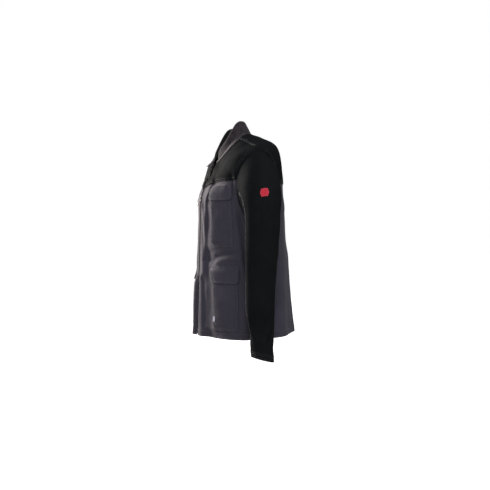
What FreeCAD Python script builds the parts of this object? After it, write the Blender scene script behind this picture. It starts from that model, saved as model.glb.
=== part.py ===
"""Flame-retardant welder's jacket: charcoal body, black yokes and sleeves, stand-up collar and zip front.

Millimetres. +X is the wearer's left, +Y the wearer's back, +Z up. The origin is the point under
the hanger loop inside the collar where a hook bears. All cloth lies on two smooth surfaces: the
body, worked out by torso_point(), and the left sleeve, worked out by sleeve_point(). A panel is
a thin closed solid between two offsets of its surface. The right side mirrors the left one.
"""
import FreeCAD, Part
import math
import os

# ---- Cloth and seams -------------------------------------------------------------------------
CLOTH = 2.2               # thickness of the body cloth with its lining
SEAM_GAP = 0.4            # clear gap where two panels meet at a seam
SIDE_GAP = 0.06           # the same at the side seams, in degrees each side
LAYER_GAP = 0.5           # clear gap between two layers that lie on each other
NAPE_Y = 21.0             # the collar seam at the nape lies this far behind the origin
NAPE_Z = -19.0            # and this far below it

# ---- Body: sections from the hem to the neck, measured from the nape --------------------------
# Each section: height and depth of its centre, forward tilt in degrees, half width, depth to the
# front and to the back of the centre, and how far the sides stand above the section's plane.
SECTIONS = [
    dict(z=-722, y=-16, tilt=0, width=224, front=176.0, back=158, lift=0),
    dict(z=-600, y=-18, tilt=0, width=217, front=170.6, back=148, lift=0),
    dict(z=-480, y=-20, tilt=0, width=209, front=165.2, back=139, lift=0),
    dict(z=-380, y=-22, tilt=0, width=204, front=160.4, back=132, lift=0),
    dict(z=-296, y=-25, tilt=0, width=202, front=155.0, back=128, lift=0),
    dict(z=-225, y=-29, tilt=0, width=206, front=149.0, back=127, lift=0),
    dict(z=-163, y=-35, tilt=3, width=213, front=127.0, back=127, lift=4),
    dict(z=-106, y=-39, tilt=17, width=222, front=112.0, back=117, lift=36),
    dict(z=-72, y=-49, tilt=27, width=150, front=100.0, back=88, lift=36),
    dict(z=-48, y=-65, tilt=37, width=76, front=80.0, back=81, lift=38),
]
FRONT_POWER = 2.35        # roundness of the front half of a section, 2 is an ellipse
BACK_POWER = 2.5          # roundness of the back half
LIFT_POWER = 3            # how much the lift keeps to the sides
NECK = len(SECTIONS) - 1.005
HEM_FRONT_Z = NAPE_Z - 697.0
HEM_BACK_Z = NAPE_Z - 678.0
HEM_DIP = 5.0             # the hem is this much lower at the sides
SEAM_Z = NAPE_Z - 157.0   # seam between yoke and front panel
SEAM_DROP = 23.0          # the seam falls by this much towards the centre front
SEAM_DROP_WIDTH = 85.0
BACK_SEAM_Z = NAPE_Z - 164.0

# ---- Armholes and sleeves --------------------------------------------------------------------
ARMHOLE_Y = NAPE_Y - 38.0
ARMHOLE_TOP = NAPE_Z - 70.0
ARMHOLE_BOTTOM = NAPE_Z - 296.0
ARMHOLE_HALF_DEPTH = 68.0
UNDERARM_RADIUS = 9.0     # the sleeve turns down about a point this far below the armhole
UNDERARM_X = 203.0
SHOULDER_LEAN = 5.0       # degrees that the armhole leans outwards from the vertical
SPLIT_LEAN = 30.0         # degrees from the vertical of the plane where the sleeve turns
SPLIT_GAP = 0.8           # clear gap at that plane
SLEEVE_HALF_DEPTH = 57.0  # front to back, under the arm
SLEEVE_WIDTH = 112.0      # side to side, under the arm
CUFF_X = 287.0
CUFF_Y = NAPE_Y - 46.0
CUFF_Z = NAPE_Z - 740.0
CUFF_HALF_DEPTH = 36.5
CUFF_HALF_WIDTH = 40.0
CUFF_TILT = 14.0          # degrees, the back of the cuff is lower than its front
ELBOW_FORWARD = 7.0       # the sleeve bows forward by this much at the elbow
FAN = 0.4                 # share of the sleeve's length parameter that turns from armhole to level
CUFF_START = 0.973        # where the cuff band begins along the sleeve
CUFF_EXTRA = 0.6          # the cuff band stands this much proud
EMBLEM_AROUND = (87.0, 115.0)
EMBLEM_ALONG = (0.193, 0.239)

# ---- Front opening and zip -------------------------------------------------------------------
EDGE_X = 7.0              # the front edges stand this far from the centre, with the zip between
SLIDER_Z = NAPE_Z - 221.0
V_HALF_WIDTH = 29.0       # half width of the open neck at the collar seam
V_TOP_Z = NAPE_Z - 97.0
FACING_ANGLES = (4.2, 20.0)
FACING_THICKNESS = 1.4
TAPE_THICKNESS = 0.8
TAPE_WIDTH = 15.0
TOOTH_PITCH = 6.0
TOOTH = (4.3, 2.4, 2.2)   # across, deep, high
TOOTH_SIDE = 4.6          # from the front edge to the side of the teeth
TEETH_BOTTOM_Z = NAPE_Z - 678.0
SLIDER_HALF_WIDTH = 5.8
SLIDER_LENGTH = 18.0
SLIDER_FRONT = (-2.8, -1.0)  # the front plate's faces, measured in from the cloth's face
SLIDER_BACK = (6.2, 7.4)  # the back plate's faces
EAR = (2.3, 3.6)          # the two ears that hold the pin, out from the middle
PIN_RADIUS = 0.8
PIN_STANDS = 4.6          # the pull's pin, in front of the cloth's face
PIN_ABOVE = 3.5           # and above the slider's middle
PIN_CLEARANCE = 0.08
PULL_EYE_RADIUS = 1.7
PULL_HALF_WIDTH = 3.6
PULL_THICKNESS = 1.8
PULL_LENGTH = 29.0        # from the slider's middle down to the pull's end
BOTTOM_BOX = ((-4.8, 4.8), (1.2, 4.9), (-6, 6))
BOTTOM_BOX_Z = TEETH_BOTTOM_Z - 8.5
TOP_STOP = (4.2, 3.2, 4.0)  # across, deep, high
TOP_STOP_Z = V_TOP_Z - 5.5

# ---- Pockets and flaps -----------------------------------------------------------------------
POCKET_STANDS = 12.0      # the pocket's face stands this far off the body
POCKET_CLOTH = 1.6
FLAP_STANDS = 15.0        # the flap's underside, clear of the pocket's face
FLAP_CLOTH = 1.8
FLAP_RISE = 24.0          # height over which the flap rises from its seam
FLAP_SEAM_GAP = 0.8       # clear gap under the flap at its seam, so that it can lift
STUD_RADIUS = 5.5
STUD_PLATE = 1.0          # thickness of the stud half on the pocket
STUD_CLEARANCE = 0.15
CHEST_STUD_DROP = 55.0    # from the flap's seam down to the stud
LOWER_STUD_DROP = 46.0
CHEST_POCKET = dict(angles=(33.0, 62.0), top=NAPE_Z - 197, bottom=NAPE_Z - 385)
CHEST_FLAP = dict(angles=(31.5, 63.5), top=NAPE_Z - 160, bottom=NAPE_Z - 230)
LOWER_POCKET = dict(angles=(32.0, 66.5), top=NAPE_Z - 475, bottom=NAPE_Z - 664)
LOWER_FLAP = dict(angles=(30.5, 68.0), top=NAPE_Z - 446, bottom=NAPE_Z - 506)

# ---- Collar ----------------------------------------------------------------------------------
COLLAR_LAYER = 1.9
COLLAR_BACK_HEIGHT = 50.0
COLLAR_FRONT_HEIGHT = 41.0
COLLAR_START = 21.5       # degrees from the centre front
THROAT_TAB = (20.0, 31.0, 2.4)  # width, length, thickness
THROAT_TAB_CORNER = 8.0
THROAT_TAB_ROOT = (-27.0, NAPE_Y - 126.8, NAPE_Z - 86.0)
THROAT_TAB_DROP = 42.0    # degrees below level

# ---- Small sewn pieces -----------------------------------------------------------------------
LOOP_HALF_WIDTH = 24.0    # inside the hanger loop's arch
LOOP_HEIGHT = 16.0
LOOP_STRAP = 6.0          # the strap's width
LOOP_THICKNESS = 1.6
LOOP_FOOT = 12.6          # its feet reach back to the collar
LABEL_ANGLES = (168.0, 192.0)
LABEL_SECTIONS = (8.15, 8.6)
LABEL_THICKNESS = 0.8
TAG_ANGLES = (35.0, 40.0)
TAG_Z = (NAPE_Z - 645.0, NAPE_Z - 626.0)


def smooth(t):
    """Goes from 0 to 1 with level ends as t goes from 0 to 1."""
    t = min(1.0, max(0.0, t))
    return t * t * (3 - 2 * t)


def mix(a, b, t):
    return a + (b - a) * t


def spline_value(key, s):
    """A section value at place s along the list of sections, on a cubic Hermite curve."""
    last = len(SECTIONS) - 1
    i = max(0, min(int(s), last - 1))
    t = s - i
    if t < 0:
        return SECTIONS[0][key] + t * (SECTIONS[1][key] - SECTIONS[0][key])
    ends = SECTIONS[i][key], SECTIONS[i + 1][key]
    before = SECTIONS[max(i - 1, 0)][key]
    after = SECTIONS[min(i + 2, last)][key]
    slope_a = (ends[1] - before) / (2 if i > 0 else 1)
    slope_b = (after - ends[0]) / (2 if i + 2 <= last else 1)
    t2, t3 = t * t, t * t * t
    return (
        (2 * t3 - 3 * t2 + 1) * ends[0]
        + (t3 - 2 * t2 + t) * slope_a
        + (-2 * t3 + 3 * t2) * ends[1]
        + (t3 - t2) * slope_b
    )


def torso_point(angle, s):
    """A point on the outside of the cloth. angle is in degrees round the body: 0 is the centre
    front, 90 the wearer's left side and 180 the centre back. s counts sections from the hem."""
    a = math.radians(angle)
    sin_a, cos_a = math.sin(a), math.cos(a)
    front = cos_a > 0
    depth = spline_value("front" if front else "back", s)
    power = FRONT_POWER if front else BACK_POWER
    width = spline_value("width", s)
    radius = (abs(sin_a / width) ** power + abs(cos_a / depth) ** power) ** (-1 / power)
    tilt = math.radians(spline_value("tilt", s))
    along = -radius * cos_a
    lift = spline_value("lift", s) * abs(sin_a) ** LIFT_POWER
    return (
        radius * sin_a,
        NAPE_Y + spline_value("y", s) + along * math.cos(tilt),
        NAPE_Z + spline_value("z", s) + along * math.sin(tilt) + lift,
    )


def section_at(z):
    """The place along the sections whose centre is at height z."""
    low, high = -0.5, len(SECTIONS) - 1.0
    for _ in range(50):
        middle = (low + high) / 2
        if NAPE_Z + spline_value("z", middle) < z:
            low = middle
        else:
            high = middle
    return high


def section_for_height(angle, z):
    """The place along the sections where the surface at that angle is at height z."""
    low, high = -0.5, NECK
    for _ in range(50):
        middle = (low + high) / 2
        if torso_point(angle, middle)[2] < z:
            low = middle
        else:
            high = middle
    return high


def hem_section(angle):
    """The place along the sections where the hem runs."""
    a = math.radians(angle)
    z = mix(HEM_FRONT_Z, HEM_BACK_Z, (1 - math.cos(a)) / 2) - HEM_DIP * math.sin(a) ** 2
    return section_at(z)


def cross(a, b):
    return (a[1] * b[2] - a[2] * b[1], a[2] * b[0] - a[0] * b[2], a[0] * b[1] - a[1] * b[0])


def minus(a, b):
    return (a[0] - b[0], a[1] - b[1], a[2] - b[2])


def moved_out(point_at, p, q, distance, step_p, step_q):
    """The surface's point at (p, q), moved along the surface's outward normal."""
    here = point_at(p, q)
    if distance == 0:
        return here
    along_p = minus(point_at(p + step_p, q), point_at(p - step_p, q))
    along_q = minus(point_at(p, q + step_q), point_at(p, q - step_q))
    n = cross(along_p, along_q)
    size = math.sqrt(sum(c * c for c in n))
    return tuple(h + distance * c / size for h, c in zip(here, n))


def torso_offset(angle, s, distance):
    """A point that distance outside the cloth's outer surface."""
    return moved_out(torso_point, angle, min(s, NECK), distance, 0.5, 0.003)


def torso_x_at(y, z):
    """How far out the left side of the body is at depth y and height z, found by Newton steps."""
    angle, s = 90.0, section_at(min(z, NAPE_Z - 110.0))
    for _ in range(60):
        p = torso_point(angle, s)
        da = minus(torso_point(angle + 0.2, s), p)
        ds = minus(torso_point(angle, s + 0.005), p)
        ay, az, sy, sz = da[1] / 0.2, da[2] / 0.2, ds[1] / 0.005, ds[2] / 0.005
        det = ay * sz - sy * az
        ey, ez = y - p[1], z - p[2]
        angle += max(-6.0, min(6.0, (ey * sz - sy * ez) / det))
        s += max(-0.2, min(0.2, (ay * ez - ey * az) / det))
        s = min(max(s, 0.01), NECK)
    return torso_point(angle, s)[0]


def armhole_yz(around, grow=0.0):
    """A point on the armhole's outline seen from the side: 90 degrees is its top."""
    a = math.radians(around)
    half_height = (ARMHOLE_TOP - ARMHOLE_BOTTOM) / 2
    return (
        ARMHOLE_Y + (ARMHOLE_HALF_DEPTH + grow) * math.cos(a),
        (ARMHOLE_TOP + ARMHOLE_BOTTOM) / 2 + (half_height + grow) * math.sin(a),
    )


PIVOT_Z = ARMHOLE_BOTTOM - UNDERARM_RADIUS
SPLIT_TURN = (SPLIT_LEAN - SHOULDER_LEAN) / (90 - SHOULDER_LEAN)
ARMHOLE_STEP = 2          # degrees between the worked-out points of the armhole seam
ARMHOLE_X = [torso_x_at(*armhole_yz(around)) for around in range(0, 360, ARMHOLE_STEP)]


def armhole_x(around):
    """How far out the armhole seam is, between its worked-out points."""
    place = (around % 360) / ARMHOLE_STEP
    i = int(place)
    return mix(ARMHOLE_X[i % len(ARMHOLE_X)], ARMHOLE_X[(i + 1) % len(ARMHOLE_X)], place - i)


def shoulder_part(around, turn):
    """A sleeve point where the sleeve turns about the underarm from the armhole to level."""
    a = math.radians(around)
    lean = math.radians(mix(SHOULDER_LEAN, 90, turn))
    steep = math.radians(SHOULDER_LEAN)
    armhole_reach = (ARMHOLE_TOP - PIVOT_Z) / math.cos(steep)
    reach = mix(SLEEVE_WIDTH + UNDERARM_RADIUS, armhole_reach, (1 - turn) ** 1.7)
    radial = mix(UNDERARM_RADIUS, reach, (1 + math.sin(a)) / 2)
    half_depth = mix(ARMHOLE_HALF_DEPTH, SLEEVE_HALF_DEPTH, smooth(turn * 1.1))
    seam_y, seam_z = armhole_yz(around)
    seam_off = armhole_x(around) - UNDERARM_X - math.tan(steep) * (seam_z - PIVOT_Z)
    return (
        UNDERARM_X + math.sin(lean) * radial + seam_off * (1 - smooth(turn / SPLIT_TURN)),
        ARMHOLE_Y + half_depth * math.cos(a),
        PIVOT_Z + math.cos(lean) * radial,
    )


def arm_part(around, down):
    """A sleeve point below the underarm, where the sleeve runs down the arm."""
    a = math.radians(around)
    half_width = mix(SLEEVE_WIDTH / 2, CUFF_HALF_WIDTH, down)
    half_depth = mix(SLEEVE_HALF_DEPTH, CUFF_HALF_DEPTH, down)
    tilt = math.radians(CUFF_TILT) * smooth(down)
    start_x = UNDERARM_X + UNDERARM_RADIUS + SLEEVE_WIDTH / 2
    bow = ELBOW_FORWARD * math.sin(math.pi * down)
    return (
        mix(start_x, CUFF_X, (down + down * down) / 2) + half_width * math.sin(a),
        mix(ARMHOLE_Y, CUFF_Y, smooth(down)) - bow + half_depth * math.cos(a) * math.cos(tilt),
        mix(PIVOT_Z, CUFF_Z, down) - half_depth * math.cos(a) * math.sin(tilt),
    )


def sleeve_point(around, t):
    """A point on the outside of the left sleeve. around is in degrees: 0 is the back of the arm,
    90 its outer side, 180 its front. t goes from 0 at the armhole to 1 at the cuff's edge."""
    if t < FAN:
        return shoulder_part(around, max(0.0, t / FAN))
    return arm_part(around, (t - FAN) / (1 - FAN))


def sleeve_offset(around, t, distance):
    return moved_out(sleeve_point, around, max(t, 0.004), distance, 0.5, 0.003)


# ---- end of shape ----


def vector(point):
    return FreeCAD.Vector(*point)


def steps(low, high, count):
    return [mix(low, high, i / (count - 1)) for i in range(count)]


def sheet_solid(point_at, p_values, q_count, outside, inside):
    """A closed solid between two offsets of a surface. point_at(p, share, distance) gives its
    points, share goes from 0 to 1 along the second direction. An offset is a number, or a
    function of the share."""

    def offset(value, share):
        return value(share) if callable(value) else value

    def surface(value):
        made = Part.BSplineSurface()
        shares = steps(0, 1, q_count)
        made.interpolate(
            [[vector(point_at(p, q, offset(value, q))) for q in shares] for p in p_values]
        )
        return made

    def edges(made):
        p0, p1, q0, q1 = made.bounds()
        return [made.uIso(p0), made.uIso(p1), made.vIso(q0), made.vIso(q1)]

    outer, inner = surface(outside), surface(inside)
    rims = [
        Part.makeRuledSurface(a.toShape(), b.toShape())
        for a, b in zip(edges(outer), edges(inner))
    ]
    skin = Part.makeCompound([outer.toShape(), inner.toShape()] + rims)
    skin.sewShape(0.01)
    solid = Part.makeSolid(skin.Shells[0])
    if solid.Volume < 0:
        solid.reverse()
    return solid


def torso_sheet(angles, low, high, outside, inside, around=14, up=30):
    """A sheet on the body. low and high are places along the sections, or functions of the angle
    that give them."""

    def place(value, angle):
        return value(angle) if callable(value) else value

    def point_at(angle, share, distance):
        return torso_offset(angle, mix(place(low, angle), place(high, angle), share), distance)

    return sheet_solid(point_at, steps(*angles, around), up, outside, inside)


def sleeve_sheet(arounds, low, high, outside, inside, around=14, along=24):
    """A sheet on the left sleeve."""

    def point_at(p, share, distance):
        return sleeve_offset(p, mix(low, high, share), distance)

    return sheet_solid(point_at, steps(*arounds, around), along, outside, inside)


def prism_y(points_xz, y0, y1):
    """A prism along Y with the outline given in X and Z."""
    outline = [FreeCAD.Vector(x, y0, z) for x, z in points_xz]
    face = Part.Face(Part.makePolygon(outline + outline[:1]))
    return face.extrude(FreeCAD.Vector(0, y1 - y0, 0))


def block(x, y, z):
    """A box from three (low, high) pairs."""
    size = [high - low for low, high in (x, y, z)]
    return Part.makeBox(*size, FreeCAD.Vector(x[0], y[0], z[0]))


def armhole_tool():
    """The body of the armhole: an ellipse seen from the side, extruded across."""
    y, z = ARMHOLE_Y, (ARMHOLE_TOP + ARMHOLE_BOTTOM) / 2
    high = (ARMHOLE_TOP - ARMHOLE_BOTTOM) / 2 + SEAM_GAP
    ellipse = Part.Ellipse(
        FreeCAD.Vector(120, y, z + high),
        FreeCAD.Vector(120, y + ARMHOLE_HALF_DEPTH + SEAM_GAP, z),
        FreeCAD.Vector(120, y, z),
    )
    return Part.Face(Part.Wire(ellipse.toShape())).extrude(FreeCAD.Vector(200, 0, 0))


def half_space(point, normal, size=1600):
    """A large box whose face lies on the plane, on the normal's side of it."""
    box = Part.makeBox(size, size, size, FreeCAD.Vector(-size / 2, -size / 2, 0))
    turn = FreeCAD.Rotation(FreeCAD.Vector(0, 0, 1), normal)
    box.Placement = FreeCAD.Placement(point, turn)
    return box


def v_edge_x(z, inward=0.0):
    """How far the front edge stands from the centre at height z."""
    t = max(0.0, (z - SLIDER_Z) / (V_TOP_Z - SLIDER_Z))
    return mix(EDGE_X, V_HALF_WIDTH, t) - inward


def opening_tool():
    """What is cut away between the two front edges, with the open neck above the slider."""
    top = V_TOP_Z + 120
    low = HEM_FRONT_Z - 60
    left = [(v_edge_x(low), low), (EDGE_X, SLIDER_Z), (v_edge_x(top), top)]
    return prism_y(left + [(-x, z) for x, z in reversed(left)], -260, 0)


def above_front_seam(gap):
    low = SEAM_Z + gap
    points = [(-20, low - SEAM_DROP * (1 + 20 / SEAM_DROP_WIDTH)), (SEAM_DROP_WIDTH, low), (300, low)]
    return prism_y(points + [(300, 200), (-20, 200)], -300, 200)


PIECES = {}


def keep(name, *solids):
    """Adds a sub-part: one solid, or several that belong together."""
    PIECES[name] = solids[0] if len(solids) == 1 else Part.makeCompound(list(solids))


def mirrored(shape):
    return shape.mirror(FreeCAD.Vector(0, 0, 0), FreeCAD.Vector(1, 0, 0))


def keep_pair(name, *solids):
    """Adds the left sub-part and its mirror image on the right."""
    keep("left_" + name, *solids)
    keep("right_" + name, *[mirrored(s) for s in solids])


# ---- Body panels -----------------------------------------------------------------------------
armholes = armhole_tool()
opening = opening_tool()


def front_and_yoke():
    whole = torso_sheet((0.0, 90 - SIDE_GAP), hem_section, NECK, 0, -CLOTH, around=18, up=40)
    whole = whole.cut(opening).cut(armholes)
    keep_pair("front_panel", *whole.cut(above_front_seam(-SEAM_GAP / 2)).Solids)
    keep_pair("front_yoke", *whole.common(above_front_seam(SEAM_GAP / 2)).Solids)


def back_and_yoke():
    angles = (90 + SIDE_GAP, 270 - SIDE_GAP)
    whole = torso_sheet(angles, hem_section, NECK, 0, -CLOTH, around=30, up=40)
    whole = whole.cut(armholes).cut(mirrored(armholes))
    upper = block((-400, 400), (-300, 400), (BACK_SEAM_Z + SEAM_GAP / 2, 300))
    lower = block((-400, 400), (-300, 400), (-1200, BACK_SEAM_Z - SEAM_GAP / 2))
    keep("back_yoke", *whole.common(upper).Solids)
    keep("back_panel", *whole.common(lower).Solids)


def front_facing():
    """The turned-in strip of cloth behind each front edge."""
    outside = -CLOTH - 2 * LAYER_GAP - TAPE_THICKNESS
    strip = torso_sheet(FACING_ANGLES, lambda a: hem_section(a) + 0.02, 5.0,
                        outside, outside - FACING_THICKNESS, around=6, up=20)
    keep_pair("front_facing", strip)


# ---- Sleeves ---------------------------------------------------------------------------------
PIVOT = FreeCAD.Vector(UNDERARM_X, ARMHOLE_Y, PIVOT_Z)
SPLIT_NORMAL = FreeCAD.Vector(
    math.cos(math.radians(SPLIT_LEAN)), 0, -math.sin(math.radians(SPLIT_LEAN))
)


def sleeves():
    """Each sleeve has an outer and an under half. The head stays on the body, and what is below
    the split plane turns with the arm."""
    moving = half_space(PIVOT + SPLIT_NORMAL * SPLIT_GAP, SPLIT_NORMAL)
    fixed = half_space(PIVOT, SPLIT_NORMAL * -1)
    split_t = SPLIT_TURN * FAN
    halves = dict(sleeve_upper=(0.2, 179.8), sleeve_under=(180.2, 359.8))
    heads = []
    for name, arounds in halves.items():
        head = sleeve_sheet(arounds, 0.0, split_t * 1.5, 0, -CLOTH, around=18, along=12)
        heads += head.common(fixed).Solids
        arm = sleeve_sheet(arounds, split_t * 0.55, CUFF_START - 0.001, 0, -CLOTH, 18, 30)
        keep_pair(name, *arm.common(moving).Solids)
    keep_pair("sleeve_head", *heads)
    band = [
        sleeve_sheet(arounds, CUFF_START, 1.0, CUFF_EXTRA, -CLOTH - CUFF_EXTRA, 14, 4)
        for arounds in ((0, 180), (180, 360))
    ]
    keep_pair("cuff", band[0].fuse(band[1]))


def sleeve_emblem():
    """A small woven badge on the left upper arm."""
    keep("sleeve_emblem", sleeve_sheet(EMBLEM_AROUND, *EMBLEM_ALONG, 1.1, 0.2, around=6, along=5))


# ---- Collar ----------------------------------------------------------------------------------
def collar_mid(angle, share):
    """A point on the collar's outer face, from its seam at the neck to its top edge."""
    x, y, z = torso_point(angle, NECK)
    a = math.radians(angle)
    back = smooth((1 - math.cos(a)) / 2)
    from_end = min(angle, 360 - angle) - COLLAR_START
    corner = math.sqrt(min(1.0, max(0.0, from_end / 9.0)))
    height = mix(COLLAR_FRONT_HEIGHT, COLLAR_BACK_HEIGHT, back) * mix(0.72, 1.0, corner)
    lean_x, lean_y = -mix(0.5, 0.2, back) * math.sin(a), mix(0.12, -0.45, back)
    up = math.sqrt(1 - lean_x**2 - lean_y**2)
    rise = 0.8 + share * height
    return (x + lean_x * rise, y + lean_y * rise, z + up * rise)


def collar_layer(outside, inside):
    def point_at(angle, share, distance):
        return moved_out(collar_mid, angle, share, distance, 0.3, 0.02)

    angles = steps(COLLAR_START, 360 - COLLAR_START, 44)
    return sheet_solid(point_at, angles, 6, outside, inside)


def collar():
    keep("collar_outer", collar_layer(0, -COLLAR_LAYER))
    second = -COLLAR_LAYER - LAYER_GAP
    keep("collar_inner", collar_layer(second, second - COLLAR_LAYER))


def throat_tab():
    """The strap that closes the collar at the throat, standing open on its right end."""
    width, length, thick = THROAT_TAB
    strap = block((-width / 2, width / 2), (-length, 0), (-thick / 2, thick / 2))
    corners = [e for e in strap.Edges if abs(e.CenterOfMass.y + length) < 0.1
               and abs(abs(e.CenterOfMass.x) - width / 2) < 0.1]
    strap = strap.makeFillet(THROAT_TAB_CORNER, corners)
    strap.rotate(FreeCAD.Vector(0, 0, 0), FreeCAD.Vector(1, 0, 0), THROAT_TAB_DROP)
    strap.translate(FreeCAD.Vector(*THROAT_TAB_ROOT))
    keep("throat_tab", strap)


# ---- Zip -------------------------------------------------------------------------------------
def zip_tapes():
    outside = -CLOTH - LAYER_GAP
    strip = torso_sheet((0.0, 30), hem_section, NECK - 0.02, outside, outside - TAPE_THICKNESS)
    low = HEM_FRONT_Z - 60
    top = V_TOP_Z + 100
    inner = [(v_edge_x(z, TOOTH_SIDE), z) for z in (low, SLIDER_Z, top)]
    outer = [(x + TAPE_WIDTH, z) for x, z in reversed(inner)]
    keep_pair("zip_tape", *strip.common(prism_y(inner + outer, -260, 0)).Solids)


def tape_middle_y(angle, z):
    """Depth of the middle of the zip's tape at height z."""
    return torso_point(angle, section_for_height(angle, z))[1] + CLOTH + LAYER_GAP + TAPE_THICKNESS / 2


def zip_teeth():
    """Teeth that mesh below the slider and stand apart above it."""
    left, right = [], []
    count = int((V_TOP_Z - 10 - TEETH_BOTTOM_Z) / TOOTH_PITCH)
    across, deep, high = TOOTH
    for i in range(2 * count):
        z = TEETH_BOTTOM_Z + i * TOOTH_PITCH / 2
        x = v_edge_x(z, TOOTH_SIDE + 0.1)
        y = tape_middle_y(0, z)
        tooth = block((x - across, x), (y - deep / 2, y + deep / 2), (z - high / 2, z + high / 2))
        if i % 2:
            right.append(mirrored(tooth))
        else:
            left.append(tooth)
    keep("left_zip_teeth", *left)
    keep("right_zip_teeth", *right)


def zip_line():
    """The straight line that the slider runs on: a point on the cloth's face and a direction."""
    top = vector(torso_point(0, section_for_height(0, SLIDER_Z)))
    bottom = vector(torso_point(0, section_for_height(0, TEETH_BOTTOM_Z)))
    return top, (bottom - top).normalize()


def on_zip(shape, z=SLIDER_Z):
    """Places a shape drawn upright about the origin on the zip's line at height z."""
    top, down = zip_line()
    shape.rotate(FreeCAD.Vector(0, 0, 0), FreeCAD.Vector(1, 0, 0), math.degrees(math.atan2(down.y, -down.z)))
    shape.translate(top + down * ((top.z - z) / -down.z))
    return shape


def edges_along_y(shape):
    return [e for e in shape.Edges if abs(e.tangentAt(0).y) > 0.9]


def across_pin(radius, half_length):
    """A round bar on the pull's pin axis."""
    start = FreeCAD.Vector(-half_length, -PIN_STANDS, PIN_ABOVE)
    return Part.makeCylinder(radius, 2 * half_length, start, FreeCAD.Vector(1, 0, 0))


def zip_slider():
    """The slider's two plates, with the pin across two ears on the front one."""
    half, long = SLIDER_HALF_WIDTH, SLIDER_LENGTH / 2
    front = block((-half, half), SLIDER_FRONT, (-long, long))
    front = front.makeFillet(2.4, edges_along_y(front))
    for x in ((-EAR[1], -EAR[0]), EAR):
        ear = block(x, (-PIN_STANDS - 1.5, SLIDER_FRONT[0] + 0.1), (PIN_ABOVE - 2.5, PIN_ABOVE + 2.5))
        front = front.fuse(ear)
    front = front.fuse(across_pin(PIN_RADIUS, EAR[0] + 0.7))
    keep("zip_slider", on_zip(front), on_zip(block((-half, half), SLIDER_BACK, (-long, long))))


def zip_pull():
    """The pull: a flat tab with rounded lower corners, a neck, and an eye round the pin."""
    eye_half = EAR[0] - 0.4
    flat = (-PIN_STANDS - PULL_THICKNESS / 2, -PIN_STANDS + PULL_THICKNESS / 2)
    tab = block((-PULL_HALF_WIDTH, PULL_HALF_WIDTH), flat, (-PULL_LENGTH, -PULL_HALF_WIDTH))
    lower = [e for e in edges_along_y(tab) if e.CenterOfMass.z < -PULL_LENGTH / 2]
    tab = tab.makeFillet(2.2, lower)
    neck = block((-eye_half, eye_half), flat, (-PULL_HALF_WIDTH - 0.4, PIN_ABOVE - 1.0))
    pull = tab.fuse(neck).fuse(across_pin(PULL_EYE_RADIUS, eye_half))
    keep("zip_pull", on_zip(pull.cut(across_pin(PIN_RADIUS + PIN_CLEARANCE, eye_half + 2))))


def zip_ends():
    """The box that holds the two tapes at the bottom and a stop at the top of each."""
    keep("zip_bottom_box", on_zip(block(*BOTTOM_BOX), BOTTOM_BOX_Z))
    across, deep, high = TOP_STOP
    x = v_edge_x(TOP_STOP_Z, TOOTH_SIDE + across / 2)
    y = tape_middle_y(8, TOP_STOP_Z)
    left = block((x - across / 2, x + across / 2), (y - deep / 2, y + deep / 2),
                 (TOP_STOP_Z - high / 2, TOP_STOP_Z + high / 2))
    keep("zip_top_stops", left, mirrored(left))


def print_joints():
    """Prints the directions and places that the zip's joints take from the model."""
    pin = on_zip(Part.Vertex(FreeCAD.Vector(0, -PIN_STANDS, PIN_ABOVE))).Point
    print("slider axis", tuple(round(c, 5) for c in zip_line()[1]))
    print("pull hinge", tuple(round(c / 1000, 5) for c in pin))


# ---- Pockets, flaps and studs ----------------------------------------------------------------
def pocket(name, angles, top, bottom):
    """A patch pocket that stands off the front: a face with two sides and a bottom, open above."""
    a0, a1 = angles
    s_low, s_high = section_at(bottom), section_at(top)
    side = math.degrees(POCKET_CLOTH / 160)
    floor = POCKET_CLOTH / 110
    whole = torso_sheet(angles, s_low, s_high, POCKET_STANDS, LAYER_GAP, around=8, up=8)
    inside = torso_sheet((a0 + side, a1 - side), s_low + floor, s_high + 0.05,
                         POCKET_STANDS - POCKET_CLOTH, LAYER_GAP - 1, around=8, up=8)
    keep_pair(name, whole.cut(inside))


def flap(name, angles, top, bottom):
    """A flap that is sewn along its top edge and hangs over the pocket's mouth."""
    s_low, s_high = section_at(bottom), section_at(top)
    height = top - bottom

    def underside(share):
        return mix(FLAP_STANDS, FLAP_SEAM_GAP, smooth(1 - (1 - share) * height / FLAP_RISE))

    keep_pair(name, torso_sheet(angles, s_low, s_high, lambda q: underside(q) + FLAP_CLOTH,
                                underside, around=10, up=16))
    middle = sum(angles) / 2
    on_seam = vector(torso_offset(middle, s_high, FLAP_SEAM_GAP + FLAP_CLOTH))
    ahead = vector(torso_offset(middle + 1, s_high, 0)) - vector(torso_offset(middle - 1, s_high, 0))
    ahead.z = 0
    print(name, "hinge", tuple(round(c / 1000, 5) for c in on_seam),
          "axis", tuple(round(c, 5) for c in ahead.normalize()))


def stud(angle, z, low, high):
    """A round stud half that stands on the cloth between two offsets."""
    s = section_at(z)
    base = vector(torso_offset(angle, s, low))
    out = vector(torso_offset(angle, s, high)) - base
    return Part.makeCylinder(STUD_RADIUS, out.Length, base, out)


def studs():
    """A hidden press stud under each flap: a socket on the flap, a ball plate on the pocket."""
    plates = []
    on_pocket = POCKET_STANDS + STUD_CLEARANCE
    for name, at, drop in (("chest", CHEST_FLAP, CHEST_STUD_DROP), ("lower", LOWER_FLAP, LOWER_STUD_DROP)):
        middle, z = sum(at["angles"]) / 2, at["top"] - drop
        plates.append(stud(middle, z, on_pocket, on_pocket + STUD_PLATE))
        keep_pair(name + "_flap_stud", stud(middle, z, FLAP_STANDS - 1.3, FLAP_STANDS - STUD_CLEARANCE))
    keep("pocket_studs", *plates, *[mirrored(p) for p in plates])


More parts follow.
